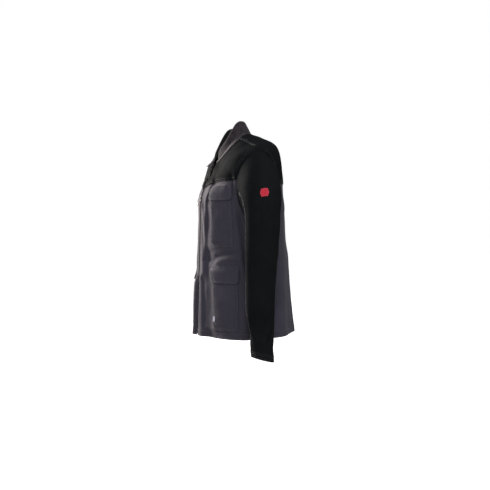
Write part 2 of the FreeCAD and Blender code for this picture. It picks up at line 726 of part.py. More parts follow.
# ---- Small sewn pieces -----------------------------------------------------------------------
def hanger_loop():
    """A narrow strap in an arch inside the collar. A hook bears under its top, at the origin."""
    half_strap = LOOP_STRAP / 2

    def arch(grow):
        centre = FreeCAD.Vector(0, -half_strap, -LOOP_HEIGHT)
        end = centre + FreeCAD.Vector(LOOP_HALF_WIDTH + grow, 0, 0)
        top = centre + FreeCAD.Vector(0, 0, LOOP_HEIGHT + grow)
        ellipse = Part.Ellipse(end, top, centre)
        return Part.Face(Part.Wire(ellipse.toShape())).extrude(FreeCAD.Vector(0, LOOP_STRAP, 0))

    ring = arch(LOOP_THICKNESS).cut(arch(0))
    loop = ring.common(block((-60, 60), (-20, 20), (-LOOP_HEIGHT, 40)))
    for x in (-LOOP_HALF_WIDTH - LOOP_THICKNESS / 2, LOOP_HALF_WIDTH + LOOP_THICKNESS / 2):
        foot = block((x - LOOP_THICKNESS, x + LOOP_THICKNESS), (-half_strap, LOOP_FOOT),
                     (-LOOP_HEIGHT - 2, -LOOP_HEIGHT))
        loop = loop.fuse(foot)
    keep("hanger_loop", loop)


def labels():
    """A blank label inside the nape and a small blank tag on the left lower pocket."""
    inside = -CLOTH - LAYER_GAP
    keep("neck_label", torso_sheet(LABEL_ANGLES, *LABEL_SECTIONS, inside, inside - LABEL_THICKNESS,
                                   around=6, up=5))
    low, high = (section_at(z) for z in TAG_Z)
    keep("pocket_tag", torso_sheet(TAG_ANGLES, low, high, POCKET_STANDS + 1.0, POCKET_STANDS + 0.2,
                                   around=4, up=4))


def main():
    front_and_yoke()
    back_and_yoke()
    front_facing()
    sleeves()
    sleeve_emblem()
    collar()
    throat_tab()
    zip_tapes()
    zip_teeth()
    zip_slider()
    zip_pull()
    zip_ends()
    print_joints()
    pocket("chest_pocket", **CHEST_POCKET)
    pocket("lower_pocket", **LOWER_POCKET)
    flap("chest_flap", **CHEST_FLAP)
    flap("lower_flap", **LOWER_FLAP)
    studs()
    hanger_loop()
    labels()
    os.makedirs("parts", exist_ok=True)
    for name, shape in PIECES.items():
        assert shape.isValid(), name
        shape.exportStep("parts/" + name + ".step")
    print(len(PIECES), "sub-parts")


main()
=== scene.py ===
"""Welder's jacket as it is worn: charcoal twill body, black leather yokes and sleeves, stand-up collar.

Millimetres until a mesh is made. +X is the wearer's left, +Y the back, +Z up. The body and sleeve
surfaces repeat the formulas of the CAD model. A cloth simulation settles each one over a form,
and every panel, pocket, seam and stitch is then laid on the settled surfaces.
"""
import math
import bpy
import numpy as np
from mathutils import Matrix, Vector


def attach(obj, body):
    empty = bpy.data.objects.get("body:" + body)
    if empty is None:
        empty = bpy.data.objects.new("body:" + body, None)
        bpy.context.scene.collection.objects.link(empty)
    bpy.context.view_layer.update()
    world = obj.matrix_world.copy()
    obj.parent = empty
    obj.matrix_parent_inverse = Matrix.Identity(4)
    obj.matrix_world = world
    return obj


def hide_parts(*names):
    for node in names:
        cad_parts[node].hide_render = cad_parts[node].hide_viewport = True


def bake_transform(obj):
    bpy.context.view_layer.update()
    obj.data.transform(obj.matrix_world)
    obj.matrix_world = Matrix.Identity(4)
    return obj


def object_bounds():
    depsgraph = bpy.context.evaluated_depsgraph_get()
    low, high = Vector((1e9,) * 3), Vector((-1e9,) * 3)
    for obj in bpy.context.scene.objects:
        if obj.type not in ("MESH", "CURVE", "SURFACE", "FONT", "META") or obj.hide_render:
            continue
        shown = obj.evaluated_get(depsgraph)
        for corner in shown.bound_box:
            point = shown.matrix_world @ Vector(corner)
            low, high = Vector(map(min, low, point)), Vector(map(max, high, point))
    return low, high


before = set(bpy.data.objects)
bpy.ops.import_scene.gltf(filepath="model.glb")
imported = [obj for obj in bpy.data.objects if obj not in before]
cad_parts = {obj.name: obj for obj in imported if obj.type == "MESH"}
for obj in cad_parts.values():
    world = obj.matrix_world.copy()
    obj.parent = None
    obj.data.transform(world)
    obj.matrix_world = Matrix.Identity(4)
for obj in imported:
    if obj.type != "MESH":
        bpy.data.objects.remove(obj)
cad_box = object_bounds()
MM = 0.001

# ---- Driving dimensions, as in the CAD model --------------------------------------------------
CLOTH = 2.2
NAPE_Y, NAPE_Z = 21.0, -19.0
SECTIONS = [
    dict(z=-722, y=-16, tilt=0, width=224, front=176.0, back=158, lift=0),
    dict(z=-600, y=-18, tilt=0, width=217, front=170.6, back=148, lift=0),
    dict(z=-480, y=-20, tilt=0, width=209, front=165.2, back=139, lift=0),
    dict(z=-380, y=-22, tilt=0, width=204, front=160.4, back=132, lift=0),
    dict(z=-296, y=-25, tilt=0, width=202, front=155.0, back=128, lift=0),
    dict(z=-225, y=-29, tilt=0, width=206, front=149.0, back=127, lift=0),
    dict(z=-163, y=-35, tilt=3, width=213, front=127.0, back=127, lift=4),
    dict(z=-106, y=-39, tilt=17, width=222, front=112.0, back=117, lift=36),
    dict(z=-72, y=-49, tilt=27, width=150, front=100.0, back=88, lift=36),
    dict(z=-48, y=-65, tilt=37, width=76, front=80.0, back=81, lift=38),
]
FRONT_POWER, BACK_POWER, LIFT_POWER = 2.35, 2.5, 3
NECK = len(SECTIONS) - 1.005
HEM_FRONT_Z, HEM_BACK_Z, HEM_DIP = NAPE_Z - 693.0, NAPE_Z - 668.0, 5.0
SEAM_Z, SEAM_DROP, SEAM_DROP_WIDTH = NAPE_Z - 157.0, 23.0, 85.0
BACK_SEAM_Z = NAPE_Z - 164.0
ARMHOLE_Y, ARMHOLE_TOP, ARMHOLE_BOTTOM = NAPE_Y - 38.0, NAPE_Z - 70.0, NAPE_Z - 296.0
ARMHOLE_HALF_DEPTH = 68.0
UNDERARM_RADIUS, UNDERARM_X = 9.0, 203.0
SHOULDER_LEAN, SPLIT_LEAN = 5.0, 30.0
SLEEVE_HALF_DEPTH, SLEEVE_WIDTH = 57.0, 112.0
CUFF_X, CUFF_Y, CUFF_Z = 287.0, NAPE_Y - 46.0, NAPE_Z - 740.0
CUFF_HALF_DEPTH, CUFF_HALF_WIDTH, CUFF_TILT = 36.5, 40.0, 14.0
ELBOW_FORWARD, FAN, CUFF_START = 7.0, 0.4, 0.973
EDGE_X, SLIDER_Z = 7.0, NAPE_Z - 221.0
V_HALF_WIDTH, V_TOP_Z = 29.0, NAPE_Z - 97.0
CHEST_POCKET = dict(angles=(33.0, 62.0), top=NAPE_Z - 197, bottom=NAPE_Z - 385)
CHEST_FLAP = dict(angles=(31.5, 63.5), top=NAPE_Z - 160, bottom=NAPE_Z - 230)
LOWER_POCKET = dict(angles=(32.0, 66.5), top=NAPE_Z - 475, bottom=NAPE_Z - 664)
LOWER_FLAP = dict(angles=(30.5, 68.0), top=NAPE_Z - 446, bottom=NAPE_Z - 506)
STUD_DROPS = dict(chest=55.0, lower=46.0)
TAG = dict(angles=(32.4, 38.2), top=NAPE_Z - 619, bottom=NAPE_Z - 636)
EMBLEM_MIDDLE = (101.0, 0.216)
COLLAR_BACK_HEIGHT, COLLAR_FRONT_HEIGHT, COLLAR_START = 50.0, 41.0, 21.5
TOOTH_SIDE, TEETH_BOTTOM_Z, TOP_STOP_Z = 4.6, NAPE_Z - 678.0, V_TOP_Z - 5.5
TAPE_DEPTH = 3.1          # the middle of the zip's tape lies this far behind the cloth's face


# ---- Shape formulas ---------------------------------------------------------------------------
def smooth(t):
    """Goes from 0 to 1 with level ends as t goes from 0 to 1."""
    t = np.clip(t, 0.0, 1.0)
    return t * t * (3 - 2 * t)


def mix(a, b, t):
    return a + (b - a) * t


SECTION_VALUES = {key: np.array([row[key] for row in SECTIONS], float) for key in SECTIONS[0]}


def spline_value(key, s):
    """A section value at place s along the list of sections, on a cubic Hermite curve."""
    values = SECTION_VALUES[key]
    last = len(values) - 1
    s = np.asarray(s, float)
    i = np.clip(np.floor(s).astype(int), 0, last - 1)
    t = s - i
    a, b = values[i], values[i + 1]
    slope_a = (b - values[np.maximum(i - 1, 0)]) / np.where(i > 0, 2, 1)
    slope_b = (values[np.minimum(i + 2, last)] - a) / np.where(i + 2 <= last, 2, 1)
    t2, t3 = t * t, t * t * t
    cubic = (2 * t3 - 3 * t2 + 1) * a + (t3 - 2 * t2 + t) * slope_a
    cubic = cubic + (-2 * t3 + 3 * t2) * b + (t3 - t2) * slope_b
    return np.where(t < 0, values[0] + t * (values[1] - values[0]), cubic)


def torso_point(angle, s):
    """Body surface. angle is in degrees: 0 centre front, 90 left side, 180 centre back."""
    a = np.radians(angle)
    sin_a, cos_a = np.sin(a), np.cos(a)
    depth = np.where(cos_a > 0, spline_value("front", s), spline_value("back", s))
    power = np.where(cos_a > 0, FRONT_POWER, BACK_POWER)
    width = spline_value("width", s)
    radius = (np.abs(sin_a / width) ** power + np.abs(cos_a / depth) ** power) ** (-1 / power)
    tilt = np.radians(spline_value("tilt", s))
    along = -radius * cos_a
    lift = spline_value("lift", s) * np.abs(sin_a) ** LIFT_POWER
    y = NAPE_Y + spline_value("y", s) + along * np.cos(tilt)
    z = NAPE_Z + spline_value("z", s) + along * np.sin(tilt) + lift
    return np.stack([radius * sin_a, y, z], -1)


def solve(function, low, high, rounds=40):
    """Where a rising function crosses zero, for whole arrays at once."""
    low, high = np.array(low, float), np.array(high, float)
    for _ in range(rounds):
        middle = (low + high) / 2
        below = function(middle) < 0
        low, high = np.where(below, middle, low), np.where(below, high, middle)
    return (low + high) / 2


def section_at(z):
    """The place along the sections whose centre is at height z."""
    z = np.asarray(z, float)
    return solve(lambda s: NAPE_Z + spline_value("z", s) - z, z * 0 - 0.5, z * 0 + NECK)


def section_for_height(angle, z):
    """The place along the sections where the surface at that angle is at height z."""
    angle, z = np.broadcast_arrays(np.asarray(angle, float), np.asarray(z, float))
    return solve(lambda s: torso_point(angle, s)[..., 2] - z, z * 0 - 0.5, z * 0 + NECK)


def angle_for_x(x, s):
    """The angle in front of the body's left side where the surface is x from the middle."""
    x, s = np.broadcast_arrays(np.asarray(x, float), np.asarray(s, float))
    return solve(lambda a: torso_point(a, s)[..., 0] - x, x * 0, x * 0 + 80.0)


def hem_section(angle):
    """The place along the sections where the hem runs."""
    a = np.radians(angle)
    z = mix(HEM_FRONT_Z, HEM_BACK_Z, (1 - np.cos(a)) / 2) - HEM_DIP * np.sin(a) ** 2
    return section_at(z)


def torso_at_yz(y, z):
    """Angle and section of the left side's point at depth y and height z, by Newton steps."""
    angle = np.full(np.shape(y), 90.0)
    s = section_at(np.minimum(z, NAPE_Z - 110.0))
    for _ in range(60):
        p = torso_point(angle, s)
        da = (torso_point(angle + 0.2, s) - p) / 0.2
        ds = (torso_point(angle, s + 0.005) - p) / 0.005
        det = da[..., 1] * ds[..., 2] - ds[..., 1] * da[..., 2]
        ey, ez = y - p[..., 1], z - p[..., 2]
        angle = angle + np.clip((ey * ds[..., 2] - ds[..., 1] * ez) / det, -6, 6)
        s = np.clip(s + np.clip((da[..., 1] * ez - ey * da[..., 2]) / det, -0.2, 0.2), 0.01, NECK)
    return angle, s


def armhole_yz(around, grow=0.0):
    """A point on the armhole's outline seen from the side: 90 degrees is its top."""
    a = np.radians(around)
    half_height = (ARMHOLE_TOP - ARMHOLE_BOTTOM) / 2
    y = ARMHOLE_Y + (ARMHOLE_HALF_DEPTH + grow) * np.cos(a)
    return y, (ARMHOLE_TOP + ARMHOLE_BOTTOM) / 2 + (half_height + grow) * np.sin(a)


PIVOT_Z = ARMHOLE_BOTTOM - UNDERARM_RADIUS
SPLIT_TURN = (SPLIT_LEAN - SHOULDER_LEAN) / (90 - SHOULDER_LEAN)
ARMHOLE_DEGREES = np.arange(0.0, 361.0, 2.0)
ARMHOLE_X = torso_point(*torso_at_yz(*armhole_yz(ARMHOLE_DEGREES)))[:, 0]


def shoulder_part(around, turn):
    """A sleeve point where the sleeve turns about the underarm from the armhole to level."""
    a = np.radians(around)
    lean = np.radians(mix(SHOULDER_LEAN, 90, turn))
    steep = math.radians(SHOULDER_LEAN)
    armhole_reach = (ARMHOLE_TOP - PIVOT_Z) / math.cos(steep)
    reach = mix(SLEEVE_WIDTH + UNDERARM_RADIUS, armhole_reach, (1 - turn) ** 1.7)
    radial = mix(UNDERARM_RADIUS, reach, (1 + np.sin(a)) / 2)
    half_depth = mix(ARMHOLE_HALF_DEPTH, SLEEVE_HALF_DEPTH, smooth(turn * 1.1))
    _, seam_z = armhole_yz(around)
    armhole_x = np.interp(np.mod(around, 360), ARMHOLE_DEGREES, ARMHOLE_X)
    seam_off = armhole_x - UNDERARM_X - math.tan(steep) * (seam_z - PIVOT_Z)
    x = UNDERARM_X + np.sin(lean) * radial + seam_off * (1 - smooth(turn / SPLIT_TURN))
    return np.stack([x, ARMHOLE_Y + half_depth * np.cos(a), PIVOT_Z + np.cos(lean) * radial], -1)


def arm_part(around, down):
    """A sleeve point below the underarm, where the sleeve runs down the arm."""
    a = np.radians(around)
    half_width = mix(SLEEVE_WIDTH / 2, CUFF_HALF_WIDTH, down)
    half_depth = mix(SLEEVE_HALF_DEPTH, CUFF_HALF_DEPTH, down)
    tilt = math.radians(CUFF_TILT) * smooth(down)
    start_x = UNDERARM_X + UNDERARM_RADIUS + SLEEVE_WIDTH / 2
    x = mix(start_x, CUFF_X, (down + down * down) / 2) + half_width * np.sin(a)
    bow = ELBOW_FORWARD * np.sin(math.pi * down)
    y = mix(ARMHOLE_Y, CUFF_Y, smooth(down)) - bow + half_depth * np.cos(a) * np.cos(tilt)
    z = mix(PIVOT_Z, CUFF_Z, down) - half_depth * np.cos(a) * np.sin(tilt)
    return np.stack([x, y, z], -1)


def sleeve_point(around, t):
    """Left sleeve surface. around: 0 back, 90 outer side, 180 front. t: 0 armhole, 1 cuff's edge."""
    around, t = np.broadcast_arrays(np.asarray(around, float), np.asarray(t, float))
    upper = shoulder_part(around, np.clip(t / FAN, 0, 1))
    lower = arm_part(around, np.clip((t - FAN) / (1 - FAN), 0, 1.02))
    return np.where((t < FAN)[..., None], upper, lower)


def v_edge_x(z):
    """How far the front edge stands from the centre at height z."""
    t = np.maximum(0.0, (z - SLIDER_Z) / (V_TOP_Z - SLIDER_Z))
    return mix(EDGE_X, V_HALF_WIDTH, t)


def front_seam_z(x):
    """Height of the seam under the front yoke."""
    return SEAM_Z - SEAM_DROP * np.clip(1 - np.abs(x) / SEAM_DROP_WIDTH, 0, 1.3)


def collar_mid(angle, share):
    """Collar's outer face, from its seam at the neck to its top edge."""
    base = torso_point(angle, np.full(np.shape(angle), NECK))
    a = np.radians(angle)
    back = smooth((1 - np.cos(a)) / 2)
    from_end = np.minimum(angle, 360 - angle) - COLLAR_START
    corner = np.sqrt(np.clip(from_end / 9.0, 0, 1))
    height = mix(COLLAR_FRONT_HEIGHT, COLLAR_BACK_HEIGHT, back) * mix(0.72, 1.0, corner)
    height = height * (1 - 0.26 * near(angle, 235, 325, 40))      # its right wing has sunk a little
    lean_x, lean_y = -mix(0.5, 0.2, back) * np.sin(a), mix(0.12, -0.45, back)
    up = np.sqrt(1 - lean_x**2 - lean_y**2)
    rise = (0.8 + share * height)[..., None]
    return base + np.stack([lean_x, lean_y, up], -1) * rise


def unit(v):
    return v / np.maximum(np.linalg.norm(v, axis=-1, keepdims=True), 1e-9)


def normals_of(point_at, p, q, step_p=0.5, step_q=0.003):
    along_p = point_at(p + step_p, q) - point_at(p - step_p, q)
    along_q = point_at(p, q + step_q) - point_at(p, q - step_q)
    return unit(np.cross(along_p, along_q))


# ---- Smooth field over a grid, and repeatable unevenness --------------------------------------
class Field:
    """Values on an even grid over two parameters, read between grid points on cubic curves.
    The first parameter goes once round."""

    def __init__(self, values, low, high):
        self.values, self.low, self.high = values, low, high

    def __call__(self, p, q):
        rows, cols = self.values.shape[:2]
        u = np.mod(p, 360.0) / 360.0 * rows
        v = np.clip((q - self.low) / (self.high - self.low), 0, 1) * (cols - 1)
        i, j = np.floor(u).astype(int), np.minimum(np.floor(v).astype(int), cols - 2)
        total = 0
        for di, wi in zip((-1, 0, 1, 2), self.weights(u - i)):
            for dj, wj in zip((-1, 0, 1, 2), self.weights(v - j)):
                at = self.values[(i + di) % rows, np.clip(j + dj, 0, cols - 1)]
                weight = wi * wj
                total = total + (at * weight[..., None] if at.ndim > weight.ndim else at * weight)
        return total

    @staticmethod
    def weights(t):
        t2, t3 = t * t, t * t * t
        return (
            (-t3 + 2 * t2 - t) / 2,
            (3 * t3 - 5 * t2 + 2) / 2,
            (-3 * t3 + 4 * t2 + t) / 2,
            (t3 - t2) / 2,
        )


def waves(seed, points, size, count=14):
    """Soft unevenness in space, about -1 to 1, with features of that size in millimetres."""
    rng = np.random.default_rng(seed)
    total = np.zeros(points.shape[:-1])
    for _ in range(count):
        direction = unit(rng.normal(size=3))
        length = size * rng.uniform(0.7, 1.8)
        total += np.sin(points @ direction * (2 * math.pi / length) + rng.uniform(0, 6.28))
    return total / math.sqrt(count) * 0.8


# ---- Meshes -----------------------------------------------------------------------------------
def new_object(name, verts, faces, materials, uv=None, material_index=None):
    """A mesh object from millimetre points, shaded smooth."""
    mesh = bpy.data.meshes.new(name)
    mesh.from_pydata((np.asarray(verts) * MM).tolist(), [], faces)
    for material in materials:
        mesh.materials.append(material)
    if material_index is not None:
        mesh.polygons.foreach_set("material_index", material_index)
    mesh.polygons.foreach_set("use_smooth", [True] * len(mesh.polygons))
    if uv is not None:
        layer = mesh.uv_layers.new(name="UVMap")
        corner = np.zeros(len(mesh.loops), int)
        mesh.loops.foreach_get("vertex_index", corner)
        layer.data.foreach_set("uv", (np.asarray(uv)[corner] * MM).ravel())
    mesh.update()
    made = bpy.data.objects.new(name, mesh)
    bpy.context.scene.collection.objects.link(made)
    return made


def cut(params, faces, value):
    """Keeps the part of each face where value isn't negative, with corners on the zero line."""
    value = np.where(np.abs(value) < 0.12, 0.0, value)
    inside = (value >= 0).tolist()
    params = [tuple(p) for p in params]
    made, kept = {}, []

    def crossing(i, j):
        key = (min(i, j), max(i, j))
        if key not in made:
            a, b = key
            t = value[a] / (value[a] - value[b])
            made[key] = len(params)
            params.append(tuple(mix(x, y, t) for x, y in zip(params[a], params[b])))
        return made[key]

    for face in faces:
        flags = [inside[i] for i in face]
        if all(flags):
            kept.append(face)
        elif any(flags):
            corners = []
            for k, i in enumerate(face):
                j = face[(k + 1) % len(face)]
                if inside[i]:
                    corners.append(i)
                if inside[i] != inside[j] and value[i] != 0 and value[j] != 0:
                    corners.append(crossing(i, j))
            if len(corners) > 2:
                kept.append(tuple(corners))
    used = sorted({i for face in kept for i in face})
    place = {old: new for new, old in enumerate(used)}
    return np.array([params[i] for i in used]), [tuple(place[i] for i in f) for f in kept]


def grid(p_values, q_values):
    p, q = np.meshgrid(p_values, q_values, indexing="ij")
    rows, cols = p.shape
    at = np.arange(rows * cols).reshape(rows, cols)
    faces = np.stack([at[:-1, :-1], at[1:, :-1], at[1:, 1:], at[:-1, 1:]], -1).reshape(-1, 4)
    return np.stack([p.ravel(), q.ravel()], -1), [tuple(f) for f in faces.tolist()]


RIM_STEPS = 4


def closed_sheet(outer, inner, faces):
    """Closes two layers of a sheet with a rounded rim. Returns points, faces, which faces are
    inside, and for each point the layer point that it came from."""
    count = len(outer)
    edges = {(f[k], f[(k + 1) % len(f)]) for f in faces for k in range(len(f))}
    rim = sorted(e for e in edges if (e[1], e[0]) not in edges)
    rim_points = sorted({i for e in rim for i in e})
    ring = {v: k for k, v in enumerate(rim_points)}
    half = (outer - inner) / 2
    thickness = np.linalg.norm(half, axis=1, keepdims=True)
    outward = np.zeros_like(outer)
    for i, j in rim:
        side = np.cross(outer[j] - outer[i], half[i] / thickness[i])
        outward[i] += side
        outward[j] += side
    at = np.array(rim_points, int)
    turn = unit(outward[at]) * thickness[at]
    middle = (outer[at] + inner[at]) / 2
    rings = [
        middle + half[at] * math.cos(math.pi * k / RIM_STEPS) + turn * math.sin(math.pi * k / RIM_STEPS)
        for k in range(1, RIM_STEPS)
    ]
    points = np.concatenate([outer, inner] + rings)
    source = np.concatenate([np.arange(count), np.arange(count)] + [at] * len(rings))

    def layer(vertex, k):
        if k == 0:
            return vertex
        if k == RIM_STEPS:
            return vertex + count
        return 2 * count + (k - 1) * len(at) + ring[vertex]

    all_faces = list(faces) + [tuple(i + count for i in reversed(f)) for f in faces]
    index = [0] * len(faces) + [1] * len(faces)
    for i, j in rim:
        for k in range(RIM_STEPS):
            all_faces.append((layer(j, k), layer(i, k), layer(i, k + 1), layer(j, k + 1)))
            index.append(0)
    return points, all_faces, index, source


def distances(line):
    """How far each point of a line is along it."""
    return np.concatenate([[0], np.cumsum(np.linalg.norm(np.diff(line, axis=0), axis=1))])


def line_length(line):
    return np.linalg.norm(np.diff(line, axis=0), axis=1).sum()


def sheet_area(points, faces):
    """Area in square metres of flat-ish faces."""
    total = 0.0
    p = points * MM
    for f in faces:
        for k in range(1, len(f) - 1):
            total += np.linalg.norm(np.cross(p[f[k]] - p[f[0]], p[f[k + 1]] - p[f[0]])) / 2
    return total


# ---- Materials --------------------------------------------------------------------------------
def node_tree(name):
    material = bpy.data.materials.new(name)
    material.use_nodes = True
    return material, material.node_tree, material.node_tree.nodes["Principled BSDF"]


def texture_space(tree, kind="UV", scale=(1, 1, 1), turn=0.0):
    source = tree.nodes.new("ShaderNodeTexCoord")
    mapping = tree.nodes.new("ShaderNodeMapping")
    mapping.inputs["Scale"].default_value = scale
    mapping.inputs["Rotation"].default_value = (0, 0, turn)
    tree.links.new(source.outputs[kind], mapping.inputs["Vector"])
    return mapping.outputs["Vector"]


def noise(tree, space, scale, detail=4.0, roughness=0.55):
    made = tree.nodes.new("ShaderNodeTexNoise")
    made.inputs["Scale"].default_value = scale
    made.inputs["Detail"].default_value = detail
    made.inputs["Roughness"].default_value = roughness
    tree.links.new(space, made.inputs["Vector"])
    return made.outputs["Fac"]


def math_node(tree, operation, a, b=None, clamp=False):
    made = tree.nodes.new("ShaderNodeMath")
    made.operation, made.use_clamp = operation, clamp
    for socket, value in zip(made.inputs, (a, b)):
        if value is None:
            continue
        if isinstance(value, (int, float)):
            socket.default_value = value
        else:
            tree.links.new(value, socket)
    return made.outputs["Value"]


def ramp(tree, factor, stops):
    made = tree.nodes.new("ShaderNodeValToRGB")
    elements = made.color_ramp.elements
    for k, (place, colour) in enumerate(stops):
        element = elements[k] if k < 2 else elements.new(place)
        element.position, element.color = place, (*colour, 1)
    tree.links.new(factor, made.inputs["Fac"])
    return made.outputs["Color"]


def wave(tree, space, scale, direction="X", profile="SIN", distortion=0.0):
    made = tree.nodes.new("ShaderNodeTexWave")
    made.bands_direction, made.wave_profile = direction, profile
    made.inputs["Scale"].default_value = scale
    made.inputs["Distortion"].default_value = distortion
    made.inputs["Detail"].default_value = 1.0
    made.inputs["Detail Scale"].default_value = 3.0
    tree.links.new(space, made.inputs["Vector"])
    return made.outputs["Fac"]


def bump(tree, height, distance, strength=1.0, normal=None):
    made = tree.nodes.new("ShaderNodeBump")
    made.inputs["Distance"].default_value = distance
    made.inputs["Strength"].default_value = strength
    tree.links.new(height, made.inputs["Height"])
    if normal is not None:
        tree.links.new(normal, made.inputs["Normal"])
    return made.outputs["Normal"]


def mixed(tree, factor, a, b, blend="MIX"):
    made = tree.nodes.new("ShaderNodeMix")
    made.data_type, made.blend_type = "RGBA", blend
    for socket, value in ((made.inputs["Factor"], factor), (made.inputs["A"], a), (made.inputs["B"], b)):
        if isinstance(value, (int, float)):
            socket.default_value = value
        elif isinstance(value, tuple):
            socket.default_value = (*value, 1)
        else:
            tree.links.new(value, socket)
    return made.outputs["Result"]


def scaled(colour, factor):
    return tuple(min(1.0, c * factor) for c in colour)


def cloth_material(name, colour, rib_mm=1.1, mottle=0.18, sheen=0.06, turn=0.45, rough=0.9, patch=9.0):
    """Twill: fine slanting ribs crossed by yarns, faded patches, lint and a soft sheen."""
    material, tree, shader = node_tree(name)
    rib_scale = 1000 / rib_mm / (2 * math.pi) * 0.314
    ribs = wave(tree, texture_space(tree, "UV", turn=turn), rib_scale, "X")
    yarns = wave(tree, texture_space(tree, "UV"), rib_scale * 1.45, "Y")
    weave = math_node(tree, "MULTIPLY", ribs, math_node(tree, "ADD", yarns, 0.6))
    place = texture_space(tree, "Object")
    patches = noise(tree, place, patch, 6.0, 0.6)
    lint = noise(tree, place, 900.0, 3.0, 0.7)
    base = ramp(tree, patches, [(0.3, scaled(colour, 1 - mottle)), (0.7, scaled(colour, 1 + mottle))])
    base = mixed(tree, math_node(tree, "MULTIPLY", weave, 0.5), base, scaled(colour, 0.55))
    speck = math_node(tree, "GREATER_THAN", lint, 0.70)
    base = mixed(tree, math_node(tree, "MULTIPLY", speck, 0.5), base, scaled(colour, 2.2))
    tree.links.new(base, shader.inputs["Base Color"])
    shader.inputs["Roughness"].default_value = rough
    shader.inputs["Specular IOR Level"].default_value = 0.15
    shader.inputs["Sheen Weight"].default_value = sheen
    shader.inputs["Sheen Roughness"].default_value = 0.45
    rumple = noise(tree, place, 60.0, 4.0, 0.6)
    normal = bump(tree, rumple, 0.0012, 0.5)
    normal = bump(tree, weave, 0.00022, 0.9, normal)
    tree.links.new(normal, shader.inputs["Normal"])
    return material


def leather_material(name, colour):
    """Matte leather: pebbled grain, fine creases, and a polish that changes from place to place."""
    material, tree, shader = node_tree(name)
    place = texture_space(tree, "Object")
    cells = tree.nodes.new("ShaderNodeTexVoronoi")
    cells.feature = "DISTANCE_TO_EDGE"
    cells.inputs["Scale"].default_value = 620.0
    cells.inputs["Randomness"].default_value = 1.0
    tree.links.new(place, cells.inputs["Vector"])
    pebble = math_node(tree, "MULTIPLY", cells.outputs["Distance"], 2.2, clamp=True)
    creases = noise(tree, place, 130.0, 8.0, 0.72)
    patches = noise(tree, place, 11.0, 5.0, 0.6)
    base = ramp(tree, patches, [(0.3, scaled(colour, 0.7)), (0.72, scaled(colour, 1.35))])
    base = mixed(tree, math_node(tree, "SUBTRACT", 1.0, pebble, clamp=True),
                 base, scaled(colour, 0.45))
    tree.links.new(base, shader.inputs["Base Color"])
    dull = math_node(tree, "MULTIPLY", creases, 0.28)
    rough = math_node(tree, "ADD", math_node(tree, "MULTIPLY", patches, 0.2), 0.58)
    tree.links.new(math_node(tree, "ADD", rough, dull), shader.inputs["Roughness"])
    shader.inputs["Specular IOR Level"].default_value = 0.009
    normal = bump(tree, creases, 0.0009, 0.55)
    normal = bump(tree, pebble, 0.00028, 0.7, normal)
    tree.links.new(normal, shader.inputs["Normal"])
    return material


def metal_material(name, colour, rough=0.34):
    """Dark worn metal: brushed, with brighter rubbed high spots."""
    material, tree, shader = node_tree(name)
    place = texture_space(tree, "Object")
    scratches = noise(tree, texture_space(tree, "Object", (1, 1, 12)), 700.0, 5.0, 0.7)
    rubbed = noise(tree, place, 240.0, 3.0, 0.6)
    base = ramp(tree, rubbed, [(0.35, scaled(colour, 0.6)), (0.7, scaled(colour, 1.7))])
    tree.links.new(base, shader.inputs["Base Color"])
    shader.inputs["Metallic"].default_value = 0.95
    dull = math_node(tree, "MULTIPLY", scratches, 0.3)
    tree.links.new(math_node(tree, "ADD", dull, rough - 0.12), shader.inputs["Roughness"])
    tree.links.new(bump(tree, scratches, 0.00008, 0.5), shader.inputs["Normal"])
    return material


def thread_material(name, colour):
    """Sewing thread: a tight twist."""
    material, tree, shader = node_tree(name)
    twist = wave(tree, texture_space(tree, "Object", turn=0.8), 420.0, "DIAGONAL")
    base = ramp(tree, twist, [(0.1, scaled(colour, 0.6)), (0.9, scaled(colour, 1.3))])
    tree.links.new(base, shader.inputs["Base Color"])
    shader.inputs["Roughness"].default_value = 0.6
    shader.inputs["Sheen Weight"].default_value = 0.2
    tree.links.new(bump(tree, twist, 0.0001, 0.6), shader.inputs["Normal"])
    return material


def for_camera_rays(tree, seen, unseen):
    """A strength that differs between what the camera sees and what lights the scene."""
    path = tree.nodes.new("ShaderNodeLightPath")
    spread = math_node(tree, "MULTIPLY", path.outputs["Is Camera Ray"], seen - unseen)
    return math_node(tree, "ADD", spread, unseen)


def stage_material(name, colour):
    """A pale floor that looks white to the camera and throws little light upwards."""
    material, tree, shader = node_tree(name)
    shader.inputs["Base Color"].default_value = (*colour, 1)
    shader.inputs["Roughness"].default_value = 0.9
    shader.inputs["Emission Color"].default_value = (1, 1, 1, 1)
    tree.links.new(for_camera_rays(tree, 0.9, 0.0), shader.inputs["Emission Strength"])
    return material


CHARCOAL = (0.047, 0.043, 0.060)
BLACK = (0.0125, 0.0140, 0.0160)
twill = cloth_material("charcoal_twill", CHARCOAL)
leather = leather_material("black_leather", BLACK)
collar_cloth = cloth_material("collar_cloth", (0.032, 0.0265, 0.032), rib_mm=1.6, mottle=0.45, sheen=0.05,
                              patch=85.0)
lining = cloth_material("black_lining", (0.014, 0.014, 0.016), rib_mm=0.7, mottle=0.15, sheen=0.04, turn=0.0)
tape = cloth_material("zip_tape", (0.022, 0.021, 0.025), rib_mm=1.3, mottle=0.1, sheen=0.05, turn=math.pi / 2)
tag_cloth = cloth_material("pale_tag", (0.34, 0.33, 0.41), rib_mm=0.5, mottle=0.08, sheen=0.1, turn=0.0)
badge_cloth = cloth_material("red_badge", (0.60, 0.036, 0.060), rib_mm=0.8, mottle=0.1, sheen=0.1, turn=0.6)
zip_metal = metal_material("zip_metal", (0.026, 0.023, 0.021), 0.55)
stud_metal = metal_material("stud_metal", (0.14, 0.12, 0.095), 0.36)
charcoal_thread = thread_material("charcoal_thread", (0.050, 0.047, 0.060))
black_thread = thread_material("black_thread", (0.016, 0.017, 0.019))
red_thread = thread_material("red_thread", (0.55, 0.03, 0.05))

